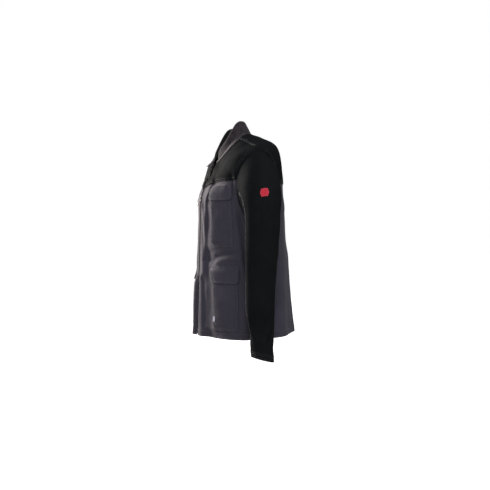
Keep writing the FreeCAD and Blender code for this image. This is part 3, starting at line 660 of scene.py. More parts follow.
# ---- Cloth simulation -------------------------------------------------------------------------
TORSO_ROWS, TORSO_COLS = 168, 84
SLEEVE_ROWS, SLEEVE_COLS = 60, 100
TORSO_LOW, TORSO_HIGH = -0.05, NECK


def ring_faces(rows, cols):
    at = np.arange(rows * cols).reshape(rows, cols)
    nxt = np.roll(at, -1, axis=0)
    faces = np.stack([at[:, :-1], nxt[:, :-1], nxt[:, 1:], at[:, 1:]], -1).reshape(-1, 4)
    return [tuple(f) for f in faces.tolist()]


def simulate(name, start, rest, form, faces, pins, frames, bending, air=1.0):
    """Settles cloth of the rest shape from its start over a form, and returns its points.
    pins says how firmly each point is held."""
    cloth = new_object(name, start, faces, [])
    cloth.shape_key_add(name="Basis")
    key = cloth.shape_key_add(name="rest")
    key.data.foreach_set("co", (rest * MM).ravel())
    group = cloth.vertex_groups.new(name="held")
    for i in np.nonzero(pins > 0.01)[0].tolist():
        group.add([i], float(pins[i]), "REPLACE")
    modifier = cloth.modifiers.new("Cloth", "CLOTH")
    settings = modifier.settings
    settings.rest_shape_key = key
    settings.vertex_group_mass = "held"
    settings.quality = 5
    settings.mass = 0.25
    settings.air_damping = air
    settings.tension_stiffness = settings.compression_stiffness = 40
    settings.shear_stiffness = 20
    settings.bending_stiffness = bending
    settings.tension_damping = settings.compression_damping = 10
    settings.bending_damping = 1.0
    modifier.collision_settings.distance_min = 0.002
    modifier.collision_settings.use_self_collision = False
    modifier.point_cache.frame_end = frames
    body = new_object(name + "_form", form, faces, [])
    body.modifiers.new("Collision", "COLLISION")
    body.collision.thickness_outer = 0.001
    scene = bpy.context.scene
    for step in range(1, frames + 1):
        scene.frame_set(step)
    settled = cloth.evaluated_get(bpy.context.evaluated_depsgraph_get()).to_mesh()
    points = np.zeros(len(start) * 3)
    settled.vertices.foreach_get("co", points)
    scene.frame_set(1)
    for made in (cloth, body):
        mesh = made.data
        bpy.data.objects.remove(made)
        bpy.data.meshes.remove(mesh)
    return points.reshape(-1, 3) / MM


def capped(move, most):
    """A displacement whose length can't pass the cap, and that changes softly near it."""
    size = np.linalg.norm(move, axis=-1, keepdims=True)
    return move * np.tanh(size / most) * most / np.maximum(size, 1e-6)


def near(value, low, high, fade):
    """1 between low and high, fading to 0 over the fade outside them."""
    return smooth((value - low) / fade + 1) * smooth((high - value) / fade + 1)


def pocket_area(angle, z):
    """1 on a pocket or flap, 0 away from it."""
    a = np.minimum(angle, 360 - angle)
    chest = near(a, 22, 60, 8) * near(z, CHEST_POCKET["bottom"], CHEST_FLAP["top"], 14)
    lower = near(a, 18, 66, 8) * near(z, LOWER_POCKET["bottom"], LOWER_FLAP["top"], 14)
    return np.maximum(chest, lower)


def torso_drape():
    """How the body cloth settles: it is a little wider than the body, so it hangs in flutes."""
    angles = np.arange(TORSO_ROWS) * 360.0 / TORSO_ROWS
    places = np.linspace(TORSO_LOW, TORSO_HIGH, TORSO_COLS)
    a, s = np.meshgrid(angles, places, indexing="ij")
    base = torso_point(a, s)
    side = np.minimum(a, 360 - a)
    free = smooth((BACK_SEAM_Z - base[..., 2]) / 200)
    middle = np.array([0.0, NAPE_Y - 20.0, 0.0])
    rest = middle + (base - middle) * (1 + 0.040 * free[..., None] * np.array([1, 1, 0]))
    rest[..., 2] = base[..., 2] + 0.012 * (base[..., 2] - BACK_SEAM_Z) * free
    normal = normals_of(torso_point, a, np.clip(s, 0.0, NECK - 0.01))
    form = base - normal * (3.0 + 11.0 * free[..., None])
    start = base + normal * (waves(4, base, 90.0) * 1.5 * free)[..., None]
    held = 1 - smooth((SEAM_Z - base[..., 2]) / 25)
    held = np.maximum(held, near(side, 0, 4, 4))
    flat = (-1, 3)
    made = simulate("body_cloth", start.reshape(flat), rest.reshape(flat), form.reshape(flat),
                    ring_faces(*base.shape[:2]), held.ravel(), 26, 6.0)
    move = capped(made.reshape(base.shape) - base, 12.0) * np.array([1, 1, 0.15])
    calm = (1 - 0.85 * pocket_area(a, base[..., 2])) * smooth((side - 4) / 12)
    return Field(move * calm[..., None], TORSO_LOW, TORSO_HIGH)


def sleeve_drape(seed):
    """How a sleeve settles: it is longer than the arm, so it wrinkles at the elbow and below."""
    arounds = np.arange(SLEEVE_ROWS) * 360.0 / SLEEVE_ROWS
    places = np.linspace(0.0, 1.0, SLEEVE_COLS)
    a, t = np.meshgrid(arounds, places, indexing="ij")
    base = sleeve_point(a, t)
    free = smooth((t - 0.12) / 0.2) * smooth((0.985 - t) / 0.1)
    rest = base.copy()
    rest[..., 2] = PIVOT_Z + (base[..., 2] - PIVOT_Z) * (1 + 0.045 * smooth((t - 0.2) / 0.2))
    rest[..., 0] += (base[..., 0] - 270) * 0.03 * free
    rest[..., 1] += (base[..., 1] + 25) * 0.03 * free
    normal = normals_of(sleeve_point, a, np.clip(t, 0.004, 0.996))
    form = base - normal * (3.0 + 9.0 * free[..., None])
    start = base + normal * (waves(seed, base, 70.0) * 1.6 * free)[..., None]
    held = np.maximum(1 - smooth((t - 0.06) / 0.10), smooth((t - 0.945) / 0.02))
    flat = (-1, 3)
    made = simulate("sleeve_cloth", start.reshape(flat), rest.reshape(flat), form.reshape(flat),
                    ring_faces(*base.shape[:2]), held.ravel(), 24, 4.0)
    move = capped(made.reshape(base.shape) - base, 9.0)
    return Field(move * free[..., None], 0.0, 1.0)


def hump(value, width):
    """A rounded bump of height 1 about zero."""
    return np.exp(-((value / width) ** 2))


def from_armhole(angle, s):
    """How far a point is outside the armhole, seen from the side; large away from it."""
    p = torso_point(angle, s)
    half_height = (ARMHOLE_TOP - ARMHOLE_BOTTOM) / 2
    y = (p[..., 1] - ARMHOLE_Y) / ARMHOLE_HALF_DEPTH
    z = (p[..., 2] - (ARMHOLE_TOP + ARMHOLE_BOTTOM) / 2) / half_height
    size = np.sqrt(y * y + z * z)
    return np.where(np.abs(p[..., 0]) < 120, 60.0, (size - 1) * ARMHOLE_HALF_DEPTH)


def folds(angle, s):
    """How far the worn shape stands out from the plain body: the zip's band stands forward of the
    pockets, a deep fold runs down in front of the sleeve, and a crease crosses the waist."""
    p = torso_point(angle, s)
    z = p[..., 2] - NAPE_Z
    side = np.minimum(angle, 360 - angle)
    left = angle < 180
    low = smooth((-z - 300) / 330)
    hips = smooth((-z - 470) / 45)
    # Beside the zip's band the cloth falls back by "deep", from the angle "begin" over "wide" degrees.
    begin = mix(mix(27.0, mix(16.0, 11.0, low), smooth((-z - 185) / 60)), 3.0, hips)
    wide = mix(mix(6.0, 12.0, low), 24.0, hips)
    deep = np.where(left, mix(8.5, 15.0, low) + 5.0 * hips, mix(9.0, 3.0, low))
    out = -deep * smooth((side - begin) / wide) * smooth((78 - side) / 14) * smooth((-z - 135) / 60)
    # The chest is hollow below the collar, and a keel stands up along the band's edge.
    out = out - 6 * near(side, 36, 60, 18) * near(z, -170, -115, 35)
    out = out + 2.5 * hump(side - begin + 1, 3.5) * smooth((-z - 230) / 60) * (1 - hips)
    # The right front bulges at the hips.
    bulge = near(z, -760, -525, 60) * smooth((side - 2.5) / 5) * smooth((45 - side) / 20)
    out = out + np.where(left, 0.0, 11.0) * bulge
    # The fold in front of the sleeve: a ridge beside a valley that slants along "line".
    line = np.where(left, 65.5 - 0.034 * (z + 165), 69.0 - 0.02 * (z + 165))
    run = near(z, -430, -190, 60) * np.where(left, 1.0, 0.6)
    out = out + run * (8.0 * hump(side - line - 6.5, 3.6) - 13.0 * hump(side - line, 2.6))
    # The crease across the waist, also a ridge beside a valley.
    waist = -411 + 0.55 * (side - 50) - np.where(left, 0, 14)
    run = near(side, 41, 64, 9) * np.where(left, 1.0, 0.7)
    out = out + run * (4.0 * hump(z - waist + 19, 10.0) - 5.5 * hump(z - waist, 8.0))
    # Soft upright flutes down the back, and unevenness everywhere but on the zip.
    back = near(side, 125, 180, 25)
    out = out + back * near(z, -640, -260, 80) * 4.0 * np.cos(np.radians(side * 9 + z * 0.12))
    uneven = 1.3 * waves(21, p, 150.0) + 0.5 * waves(22, p, 45.0)
    out = out + uneven * smooth((side - 6) / 10)
    return out * smooth((from_armhole(angle, s) - 1) / 20) * smooth((NECK - s) / 0.8)


FOLD_ROWS, FOLD_COLS = 720, 360


def worn_torso():
    """The settled cloth with its folds, as one displacement field."""
    drape = torso_drape()
    angles = np.arange(FOLD_ROWS) * 360.0 / FOLD_ROWS
    a, s = np.meshgrid(angles, np.linspace(TORSO_LOW, TORSO_HIGH, FOLD_COLS), indexing="ij")
    normal = normals_of(torso_point, a, np.minimum(s, NECK - 0.01))
    calm = smooth((from_armhole(a, s) - 1) / 20)[..., None]
    return Field(drape(a, s) * calm + normal * folds(a, s)[..., None], TORSO_LOW, TORSO_HIGH)


torso_field = worn_torso()
sleeve_fields = dict(left=sleeve_drape(11), right=sleeve_drape(29))


def draped_torso(angle, s):
    return torso_point(angle, s) + torso_field(angle, s)


def on_torso(angle, s, out=0.0):
    """A point on the settled body cloth, moved out along its normal."""
    angle, s, out = np.broadcast_arrays(*(np.asarray(v, float) for v in (angle, s, out)))
    s = np.minimum(s, NECK)
    return draped_torso(angle, s) + normals_of(draped_torso, angle, s, 0.6, 0.012) * out[..., None]


def on_sleeve(side):
    """The settled surface of one sleeve, worked out on the left and mirrored for the right."""
    field = sleeve_fields[side]

    def settled(around, t):
        return sleeve_point(around, t) + field(around, t)

    def surface(around, t, out=0.0):
        around, t, out = np.broadcast_arrays(*(np.asarray(v, float) for v in (around, t, out)))
        normal = normals_of(settled, around, np.maximum(t, 0.006), 1.0, 0.004)
        point = settled(around, t) + normal * out[..., None]
        return point * np.array([1 if side == "left" else -1, 1, 1])

    return surface


GIRTH_ANGLES = np.linspace(0, 360, 361)
GIRTH = distances(torso_point(GIRTH_ANGLES, np.full(361, 3.0)))
HEIGHT_PLACES = np.linspace(-0.5, NECK, 200)
HEIGHT = distances(torso_point(np.full(200, 60.0), HEIGHT_PLACES))


def torso_uv(angle, s):
    return np.stack([np.interp(angle, GIRTH_ANGLES, GIRTH), np.interp(s, HEIGHT_PLACES, HEIGHT)], -1)


# ---- Panels -----------------------------------------------------------------------------------
def torso_sheet(name, angles, places, rules, outside, inside, materials, side="left"):
    """A sheet of cloth on the body. Rules are signed distances in millimetres on the left side's
    surface, negative where the cloth is cut away."""
    params, faces = grid(angles, places)
    for rule in rules:
        params, faces = cut(params, faces, rule(params[:, 0], params[:, 1]))
    a, s = params.T
    angle = a if side == "left" else 360 - a
    outer, inner = on_torso(angle, s, outside(a, s)), on_torso(angle, s, inside(a, s))
    if side == "right":
        faces = [tuple(reversed(f)) for f in faces]
    area = sheet_area(torso_point(a, np.minimum(s, NECK)), faces)
    points, all_faces, index, source = closed_sheet(outer, inner, faces)
    made = new_object(name, points, all_faces, materials, torso_uv(angle, s)[source], index)
    return made, flat_of(torso_point, a, s, area)


def flat_of(surface, p, q, area):
    """The cut's width and length: its longest lines across and along its own surface."""
    lines = np.linspace(0, 1, 60)
    across = max(line_length(surface(mix(p.min(), p.max(), lines), np.full(60, at)))
                 for at in np.linspace(q.min(), min(q.max(), NECK), 9))
    along = max(line_length(surface(np.full(60, at), mix(q.min(), q.max(), lines)))
                for at in np.linspace(p.min(), p.max(), 9))
    return dict(flat=(across * MM, along * MM), area=area)


def declare_sheet(made, size):
    width, length = size["flat"]
    area = min(size["area"], width * length)
    if area < SLANT_SHARE * width * length:      # a strip that slants: its width is area over length
        width = area / length
    print(f"sheet {made.name}: {width:.3f} x {length:.3f} m, {area:.4f} m2")


def register(made, body, slot, *nodes):
    """Says which body a piece rides on and the CAD nodes that it stands for. The slot, its finish, is not
    used.
    """
    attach(made, body)
    if nodes:
        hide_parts(*nodes)


def sewn_sheet(name, nodes, rules, angles, places, face, thick, materials, slot, held, rests_on, side="left"):
    """A sheet of one thickness that is laid on the body and rides on it."""
    made, size = torso_sheet(name, angles, places, rules, face, lambda a, s: face(a, s) - thick,
                             materials, side)
    register(made, "torso", slot, *nodes)
    declare_sheet(made, size)


PITCH = 3.4               # size of a mesh cell on the cloth
OVERLAP = 8.0             # an upper panel covers the lower one by this much at a lapped seam
LAP = 1.9                 # and stands this much proud there
SHEET = 1.6               # thickness of the upper cloth layer
HEM_TURN = 20.0           # height of the turned-up hem
HEM_EXTRA = 0.9           # and how much further it stands out
SLANT_SHARE = 0.4         # a sheet that fills less of its rectangle than this is a slanting strip
SEAM_ALLOWANCE = -3.0     # the body's cloth runs this far inside the armhole


def angle_steps(low, high):
    return np.linspace(low, high, int((high - low) / 360 * 1180 / PITCH) + 2)


def place_steps(low, high):
    length = np.interp(high, HEIGHT_PLACES, HEIGHT) - np.interp(low, HEIGHT_PLACES, HEIGHT)
    return np.linspace(low, high, int(length / PITCH) + 2)


def outside_armhole(grow):
    """A rule: how far the point is outside the armhole when that is grown by so much."""
    return lambda a, s: from_armhole(a, s) - grow


def above_hem(extra=0.0):
    return lambda a, s: torso_point(a, s)[..., 2] - torso_point(a, hem_section(a))[..., 2] - extra


def outside_v(extra=0.0):
    """A rule: how far outside the front opening's edge."""

    def rule(a, s):
        p = torso_point(a, s)
        return p[..., 0] - v_edge_x(p[..., 2]) - extra

    return rule


def from_front_seam(a, s):
    """Height above the front yoke's seam."""
    p = torso_point(a, s)
    return p[..., 2] - front_seam_z(p[..., 0])


def from_back_seam(a, s):
    return torso_point(a, s)[..., 2] - BACK_SEAM_Z


def from_side(a, s):
    """Distance in front of the side seam, negative behind it."""
    p = torso_point(a, s)
    return np.sign(90 - a) * np.linalg.norm(p - torso_point(np.full(np.shape(a), 90.0), s), axis=-1)


def both(rule):
    """The same rule on both sides of the body."""
    return lambda a, s: rule(np.where(a > 180, 360 - a, a), s)


def lap(distance, width=9.0, fade=24.0):
    """How far a lapped edge stands proud at that distance inside its seam."""
    return LAP * (1 - smooth((distance - width) / fade))


def hem_fold(a, s):
    """The turned-up hem is thicker than the cloth above it."""
    return HEM_EXTRA * (1 - smooth((above_hem()(a, s) - HEM_TURN) / 2.5))


def armhole_seam(a, s):
    """The body's edge is turned in where the sleeve is sewn on."""
    return -1.5 * (1 - smooth((from_armhole(a, s) + 1.0) / 5.0))


def front_panel(side):
    def outside(a, s):
        return lap(from_side(a, s)) * (a > 60) + armhole_seam(a, s) + hem_fold(a, s)

    rules = [
        above_hem(),
        outside_v(),
        lambda a, s: OVERLAP - 1 - from_front_seam(a, s),
        lambda a, s: from_side(a, s) + OVERLAP,
        outside_armhole(SEAM_ALLOWANCE),
    ]
    sewn_sheet(side + "_front_panel_cloth", [side + "_front_panel"], rules, angle_steps(0.5, 96),
               place_steps(-0.04, 6.4), outside, SHEET, [twill, lining], "body_cloth", "hung",
               [side + "_front_yoke_cloth"], side)


def back_panel():
    def outside(a, s):
        return both(armhole_seam)(a, s) + hem_fold(a, s)

    rules = [
        above_hem(),
        lambda a, s: OVERLAP - 1 - from_back_seam(a, s),
        both(lambda a, s: OVERLAP - 1 - from_side(a, s)),
        both(outside_armhole(SEAM_ALLOWANCE)),
    ]
    sewn_sheet("back_panel_cloth", ["back_panel"], rules, angle_steps(84, 276), place_steps(-0.04, 6.4),
               outside, SHEET, [twill, lining], "body_cloth", "hung", ["back_yoke_cloth"])


def front_yoke(side):
    def outside(a, s):
        return lap(from_front_seam(a, s)) + armhole_seam(a, s)

    rules = [
        outside_v(),
        lambda a, s: from_front_seam(a, s) + OVERLAP,
        lambda a, s: from_side(a, s) + OVERLAP - 1,
        outside_armhole(SEAM_ALLOWANCE),
    ]
    sewn_sheet(side + "_front_yoke_cloth", [side + "_front_yoke"], rules, angle_steps(0.5, 97),
               place_steps(4.8, NECK), outside, SHEET, [leather, lining], "black_leather", "stretched",
               ["back_yoke_cloth"], side)


def back_yoke():
    def outside(a, s):
        shoulder = lap(-both(from_side)(a, s), 9, 20)
        return np.maximum(lap(from_back_seam(a, s)), shoulder) + both(armhole_seam)(a, s)

    rules = [
        lambda a, s: from_back_seam(a, s) + OVERLAP,
        both(lambda a, s: OVERLAP - from_side(a, s)),
        both(outside_armhole(SEAM_ALLOWANCE)),
    ]
    sewn_sheet("back_yoke_cloth", ["back_yoke"], rules, angle_steps(84, 276), place_steps(5.2, NECK),
               outside, SHEET, [leather, lining], "black_leather", "stretched",
               ["left_front_yoke_cloth", "right_front_yoke_cloth"])


for side in ("left", "right"):
    front_panel(side)
    front_yoke(side)
back_panel()
back_yoke()


def bend_with_arm(made):
    """Bakes the piece's placement into its mesh; nothing here bends it."""
    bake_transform(made)


SLEEVE_GIRTH = 365.0
SLEEVE_LENGTH = 700.0
CUFF_STANDS, CUFF_THICKNESS = 1.1, 3.4


def tube_sheet(name, surface, low, high, outside, thickness, materials, side):
    """A closed tube of cloth round the arm between two places along the sleeve."""
    rows = int(SLEEVE_GIRTH / PITCH)
    cols = max(4, int((high - low) * SLEEVE_LENGTH / PITCH))
    a, t = np.meshgrid(np.arange(rows) * 360.0 / rows, np.linspace(low, high, cols), indexing="ij")
    a, t = a.ravel(), t.ravel()
    faces = ring_faces(rows, cols)
    if side == "right":
        faces = [tuple(reversed(f)) for f in faces]
    outer = surface(a, t, outside(a, t))
    inner = surface(a, t, outside(a, t) - thickness)
    area = sheet_area(sleeve_point(a, t), faces)
    points, all_faces, index, source = closed_sheet(outer, inner, faces)
    uv = np.stack([a / 360 * SLEEVE_GIRTH, t * SLEEVE_LENGTH], -1)
    made = new_object(name, points, all_faces, materials, uv[source], index)
    round_arm, outer_side = np.linspace(0, 360, 80), np.full(90, 90.0)
    girth = max(line_length(sleeve_point(round_arm, np.full(80, at))) for at in (max(low, FAN), low))
    length = line_length(sleeve_point(outer_side, np.linspace(low, high, 90)))
    return made, dict(flat=(girth * MM, length * MM), area=area)


def sleeve(side):
    surface = on_sleeve(side)

    def outside(a, t):
        tuck = -1.8 * (1 - smooth(t / 0.02))
        seam = 0.7 * (near(np.mod(a + 20, 360), 18.0, 22.0, 1.6) + near(a, 178.0, 182.0, 1.6))
        return tuck + seam * smooth((t - 0.05) / 0.05)

    made, size = tube_sheet(side + "_sleeve_cloth", surface, 0.002, CUFF_START + 0.006, outside, SHEET,
                            [leather, lining], side)
    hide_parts(side + "_sleeve_head", side + "_sleeve_upper", side + "_sleeve_under")
    bend_with_arm(made)
    declare_sheet(made, size)

    cuff, size = tube_sheet(side + "_cuff_band", surface, CUFF_START - 0.002, 1.0,
                            lambda a, t: CUFF_STANDS + 0 * a, CUFF_THICKNESS, [leather, lining], side)
    register(cuff, side + "_arm", "black_leather", side + "_cuff")
    declare_sheet(cuff, size)


for side in ("left", "right"):
    sleeve(side)

# ---- Collar -----------------------------------------------------------------------------------
COLLAR_ROWS, COLLAR_COLS = 150, 18
COLLAR_JOIN = -2.1        # where the collar's two layers meet, behind its outer face
BAND_END, BAND_DROP = 328, 0.24      # the band's last angle, and how far it reaches down the yokes


def collar():
    """Two layers that meet along the top edge and the ends."""
    params, faces = grid(np.linspace(COLLAR_START, 360 - COLLAR_START, COLLAR_ROWS),
                         np.linspace(0.0, 1.0, COLLAR_COLS))
    a, q = params.T
    end = np.minimum(np.minimum(a, 360 - a) - COLLAR_START, 4) / 4
    edge = np.minimum(smooth((1 - q) * 9), smooth(end * 2))

    def face(out):
        n = normals_of(collar_mid, np.clip(a, COLLAR_START + 0.4, 359.6 - COLLAR_START), q, 0.3, 0.02)
        return collar_mid(a, q) + n * np.asarray(out)[..., None]

    out = mix(COLLAR_JOIN + 0.7, 0.5 * waves(8, collar_mid(a, q), 40) - 0.2, edge)
    uv = np.stack([a / 360 * 480, q * 48], -1)
    centre = face(0 * a)
    lines = centre.reshape(COLLAR_ROWS, COLLAR_COLS, 3)
    width = np.linalg.norm(np.diff(lines, axis=0), axis=-1).sum(0).max() * MM
    length = np.linalg.norm(np.diff(lines, axis=1), axis=-1).sum(1).max() * MM
    size = dict(flat=(width, length), area=sheet_area(centre, faces))
    for name, top, low, material, slot in (
        ("collar_outer", out, out - 1.4, collar_cloth, "collar_cloth"),
        ("collar_inner", mix(COLLAR_JOIN, -2.5, edge), mix(COLLAR_JOIN - 1.0, -4.1, edge), lining, "lining"),
    ):
        points, all_faces, index, source = closed_sheet(face(top), face(low), faces)
        made = new_object(name + "_cloth", points, all_faces, [material, lining], uv[source], index)
        register(made, "torso", slot, name)
        declare_sheet(made, size)


def collar_band():
    """The collar's lower edge, which overlaps the yokes below the neck's seam."""

    def depth(a, s):
        side = np.minimum(a, 360 - a)
        return s - (NECK - 0.05 - BAND_DROP * near(side, 30, 80, 45))

    def outside(a, s):
        return 2.6 * smooth(depth(a, s) / 0.03) * 0.4 + LAP * 0.8

    sewn_sheet("collar_band", [], [lambda a, s: depth(a, s) * 80], np.linspace(COLLAR_START, BAND_END, 200),
               np.linspace(NECK - 0.3, NECK, 24), outside, 1.4, [collar_cloth], "collar_cloth", "stretched",
               ["back_yoke_cloth"])


collar()
collar_band()

# ---- Facings, tapes and the neck label --------------------------------------------------------
TAPE_FACE, TAPE_CLOTH, TAPE_WIDTH, TEETH_BACKING = -2.3, 0.8, 15.0, 2.2
FACING_ANGLES = (4.2, 20.0)
LABEL_ANGLES, LABEL_SECTIONS = (168.0, 192.0), (8.15, 8.6)


def from_teeth(a, s):
    """A rule: distance outside the tape's edge, which runs on behind the teeth where they are closed."""
    closed = smooth((SLIDER_Z - 10 - torso_point(a, s)[..., 2]) / 10)
    return outside_v(-TOOTH_SIDE)(a, s) + TEETH_BACKING * closed


def tape_face(a, s):
    """The tape lies deeper where it runs on behind the teeth."""
    return TAPE_FACE - 0.9 * smooth((0.3 - outside_v(-TOOTH_SIDE)(a, s)) / 0.6)


def facings_and_tapes():
    for side in ("left", "right"):
        behind = TAPE_FACE - TAPE_CLOTH - 0.1
        sewn_sheet(side + "_facing_cloth", [side + "_front_facing"], [above_hem(6.0)],
                   np.linspace(*FACING_ANGLES, 18), place_steps(-0.02, 5.0), lambda a, s: behind + 0 * a, 1.2,
                   [lining], "lining", "hung", [side + "_front_panel_cloth"], side)
        sewn_sheet(side + "_tape_cloth", [side + "_zip_tape"],
                   [above_hem(4.0), from_teeth, lambda a, s: TAPE_WIDTH - TOOTH_SIDE - outside_v()(a, s)],
                   np.linspace(0.2, 24, 60), place_steps(-0.02, NECK - 0.02), tape_face,
                   TAPE_CLOTH, [tape], "zip_tape", "hung", [side + "_front_panel_cloth"], side)
    sewn_sheet("neck_label_cloth", ["neck_label"], [], np.linspace(*LABEL_ANGLES, 24),
               np.linspace(*LABEL_SECTIONS, 12), lambda a, s: -2.4 + 0 * a, 0.7, [tag_cloth], "pale_tag",
               "hung", ["back_yoke_cloth"])


facings_and_tapes()

# ---- Slabs, turned shapes and stitches --------------------------------------------------------
BEVEL_STEPS = 3
STITCH_PITCH, STITCH_LENGTH, STITCH_RADIUS = 4.2, 3.1, 0.42


def merged(parts):
    points, faces, base = [], [], 0
    for p, f in parts:
        points.append(np.asarray(p, float))
        faces += [tuple(i + base for i in face) for face in f]
        base += len(p)
    return np.concatenate(points), faces


def stacked(rings):
    """Joins rings of as many points each into a closed shape that ends in the first and the last."""
    n, last = len(rings[0]), len(rings) - 1
    faces = [tuple(reversed(range(n))), tuple(range(last * n, (last + 1) * n))]
    for k in range(last):
        for i in range(n):
            j = (i + 1) % n
            faces.append((k * n + i, k * n + j, (k + 1) * n + j, (k + 1) * n + i))
    return np.concatenate(rings), faces


def slab(outline, low, high, bevel):
    """A flat shape with rounded edges: an anticlockwise outline (u, v) and its height h."""
    outline = np.asarray(outline, float)
    ahead = unit(np.roll(outline, -1, 0) - np.roll(outline, 1, 0))
    inward = np.stack([-ahead[:, 1], ahead[:, 0]], -1)
    rings = []
    for k in range(2 * BEVEL_STEPS + 2):
        step = min(k, 2 * BEVEL_STEPS + 1 - k)
        turn = step / BEVEL_STEPS * math.pi / 2
        rise = bevel * (1 - math.cos(turn))
        h = low + rise if k <= BEVEL_STEPS else high - rise
        inset = inward * bevel * (1 - math.sin(turn))
        rings.append(np.column_stack([outline + inset, np.full(len(outline), h)]))
    return stacked(rings)


def rounded(width, height, radius, steps=5):
    """Outline of a rounded rectangle about the origin."""
    points = []
    for cx, cy, start in ((1, 1, 0), (-1, 1, 90), (-1, -1, 180), (1, -1, 270)):
        for k in range(steps + 1):
            a = math.radians(start + 90 * k / steps)
            points.append((cx * (width / 2 - radius) + radius * math.cos(a),
                           cy * (height / 2 - radius) + radius * math.sin(a)))
    return np.array(points)


def turned(profile, segments=24):
    """A shape turned about the h axis from (radius, h) pairs that start at its lower face."""
    turn = np.arange(segments) / segments * 2 * math.pi
    circle = np.stack([np.cos(turn), np.sin(turn)], -1)
    return stacked([np.column_stack([r * circle, np.full(segments, h)]) for r, h in profile])


def placed(shape, origin, u, v):
    """Puts a shape's (u, v, h) points in space; h is at right angles to u and v."""
    points, faces = shape
    u, v = unit(np.asarray(u, float)), unit(np.asarray(v, float))
    return points @ np.stack([u, v, np.cross(u, v)]) + np.asarray(origin, float), faces


def stitch_run(curve, normals):
    """A row of thread stitches on a curve: each is a short arched sausage that dips in at its ends."""
    distance = distances(curve)
    count = max(1, int(distance[-1] / STITCH_PITCH))
    centres = (np.arange(count) + 0.5) * distance[-1] / count
    along = np.array([-0.5, -0.36, 0.36, 0.5]) * STITCH_LENGTH
    at = centres[:, None] + along
    point, normal = (np.stack([np.interp(at, distance, v[:, k]) for k in range(3)], -1)
                     for v in (curve, normals))
    normal = unit(normal)
    ahead = unit(point[:, -1:] - point[:, :1])
    across = unit(np.cross(ahead, normal))
    rise = np.array([-0.5, 0.45, 0.45, -0.5])[:, None] * STITCH_RADIUS
    radius = np.array([0.45, 1.0, 1.0, 0.45])[:, None, None] * STITCH_RADIUS
    turn = np.arange(5) / 5 * 2 * math.pi
    ring = np.cos(turn)[:, None] * across[..., None, :] + np.sin(turn)[:, None] * normal[..., None, :]
    points = (point + normal * rise)[:, :, None, :] + ring * radius
    faces = []
    for i in range(count):
        b = i * 20
        faces.append((b, b + 1, b + 2, b + 3, b + 4))
        faces.append((b + 19, b + 18, b + 17, b + 16, b + 15))
        for k in range(3):
            for j in range(5):
                m = (j + 1) % 5
                faces.append((b + k * 5 + m, b + k * 5 + j, b + k * 5 + 5 + j, b + k * 5 + 5 + m))
    return points.reshape(-1, 3), faces


seams = {}


def sew(group, curve, normals):
    seams.setdefault(group, []).append(stitch_run(curve, normals))


def sew_on_torso(group, angle, s, out, side="left"):
    angle, s = np.broadcast_arrays(np.asarray(angle, float), np.asarray(s, float))
    at = angle if side == "left" else 360 - angle
    normals = normals_of(draped_torso, at, np.minimum(s, NECK), 0.6, 0.012)
    sew(group, on_torso(at, s, out), normals)


# ---- Pockets, flaps and studs -----------------------------------------------------------------
POCKET_CLOTH, FLAP_CLOTH = 1.5, 1.7
FRONT_RISE, BACK_RISE = 9.0, 4.0     # how far a pocket's front and back edges stand off the body
FLAP_GAP = 2.6                       # from the pocket's face to the flap's
LOWER_FULLNESS, RIGHT_FULLNESS = 0.55, 0.45      # lower and right pockets are flatter


def torso_span(at):
    """A patch's sides and ends along the cloth: left, right, bottom and top."""
    places = section_at(np.array([at["bottom"], at["top"]]))
    corners = torso_uv(np.array(at["angles"]), places)
    return corners[0, 0], corners[1, 0], corners[0, 1], corners[1, 1]


def patch_rule(at, corner):
    """A rule: distance inside a patch whose lower corners are rounded."""
    u0, u1, v0, v1 = torso_span(at)

    def rule(a, s):
        uv = torso_uv(a, s)
        radius = np.where(uv[..., 1] < (v0 + v1) / 2, corner, 1.0)
        x = np.abs(uv[..., 0] - (u0 + u1) / 2) - (u1 - u0) / 2 + radius
        y = np.abs(uv[..., 1] - (v0 + v1) / 2) - (v1 - v0) / 2 + radius
        outside = np.hypot(np.maximum(x, 0), np.maximum(y, 0))
        return radius - outside - np.minimum(np.maximum(x, y), 0)

    return rule


def pocket_face(at, fullness=1.0):
    """How far a pocket's face stands off the body."""
    fullness = fullness * (LOWER_FULLNESS if at is LOWER_POCKET else 1.0)
    u0, u1, v0, v1 = torso_span(at)

    def face(a, s):
        uv = torso_uv(a, s)
        front, back, low = uv[..., 0] - u0, u1 - uv[..., 0], uv[..., 1] - v0
        across = np.clip(front / (u1 - u0), 0, 1)
        rise = fullness * mix(FRONT_RISE, BACK_RISE, smooth(across * 1.4))
        shape = smooth((front - 1.5) / 7) * smooth((back - 5) / 16) * smooth((low - 3) / 18)
        sag = 1.3 * np.sin(uv[..., 1] / 41 + uv[..., 0] / 33) * shape
        return POCKET_CLOTH + 0.2 + rise * shape + sag

    return face


def flap_face(at, under, fullness=1.0):
    """How far a flap's face stands off the body: sewn down at its top, over the pocket below."""
    u0, u1, v0, v1 = torso_span(at)
    below = pocket_face(under, fullness)
    fullness = fullness * (LOWER_FULLNESS if under is LOWER_POCKET else 1.0)
    inside = patch_rule(at, 10.0)

    def face(a, s):
        uv = torso_uv(a, s)
        down = v1 - uv[..., 1]
        edge = 0.8 * (1 - smooth(inside(a, s) / 8.0))
        across = np.clip((uv[..., 0] - u0) / (u1 - u0), 0, 1)
        rise = fullness * mix(FRONT_RISE, BACK_RISE, smooth(across * 1.4))
        over = np.maximum(below(a, s), POCKET_CLOTH + 0.2 + rise * 0.85) + FLAP_GAP
        lower = smooth((down - (v1 - v0) + 26) / 26)
        return mix(FLAP_CLOTH + 0.3, over, smooth((down - 7) / 15)) - edge + 1.6 * lower * lower

    return face


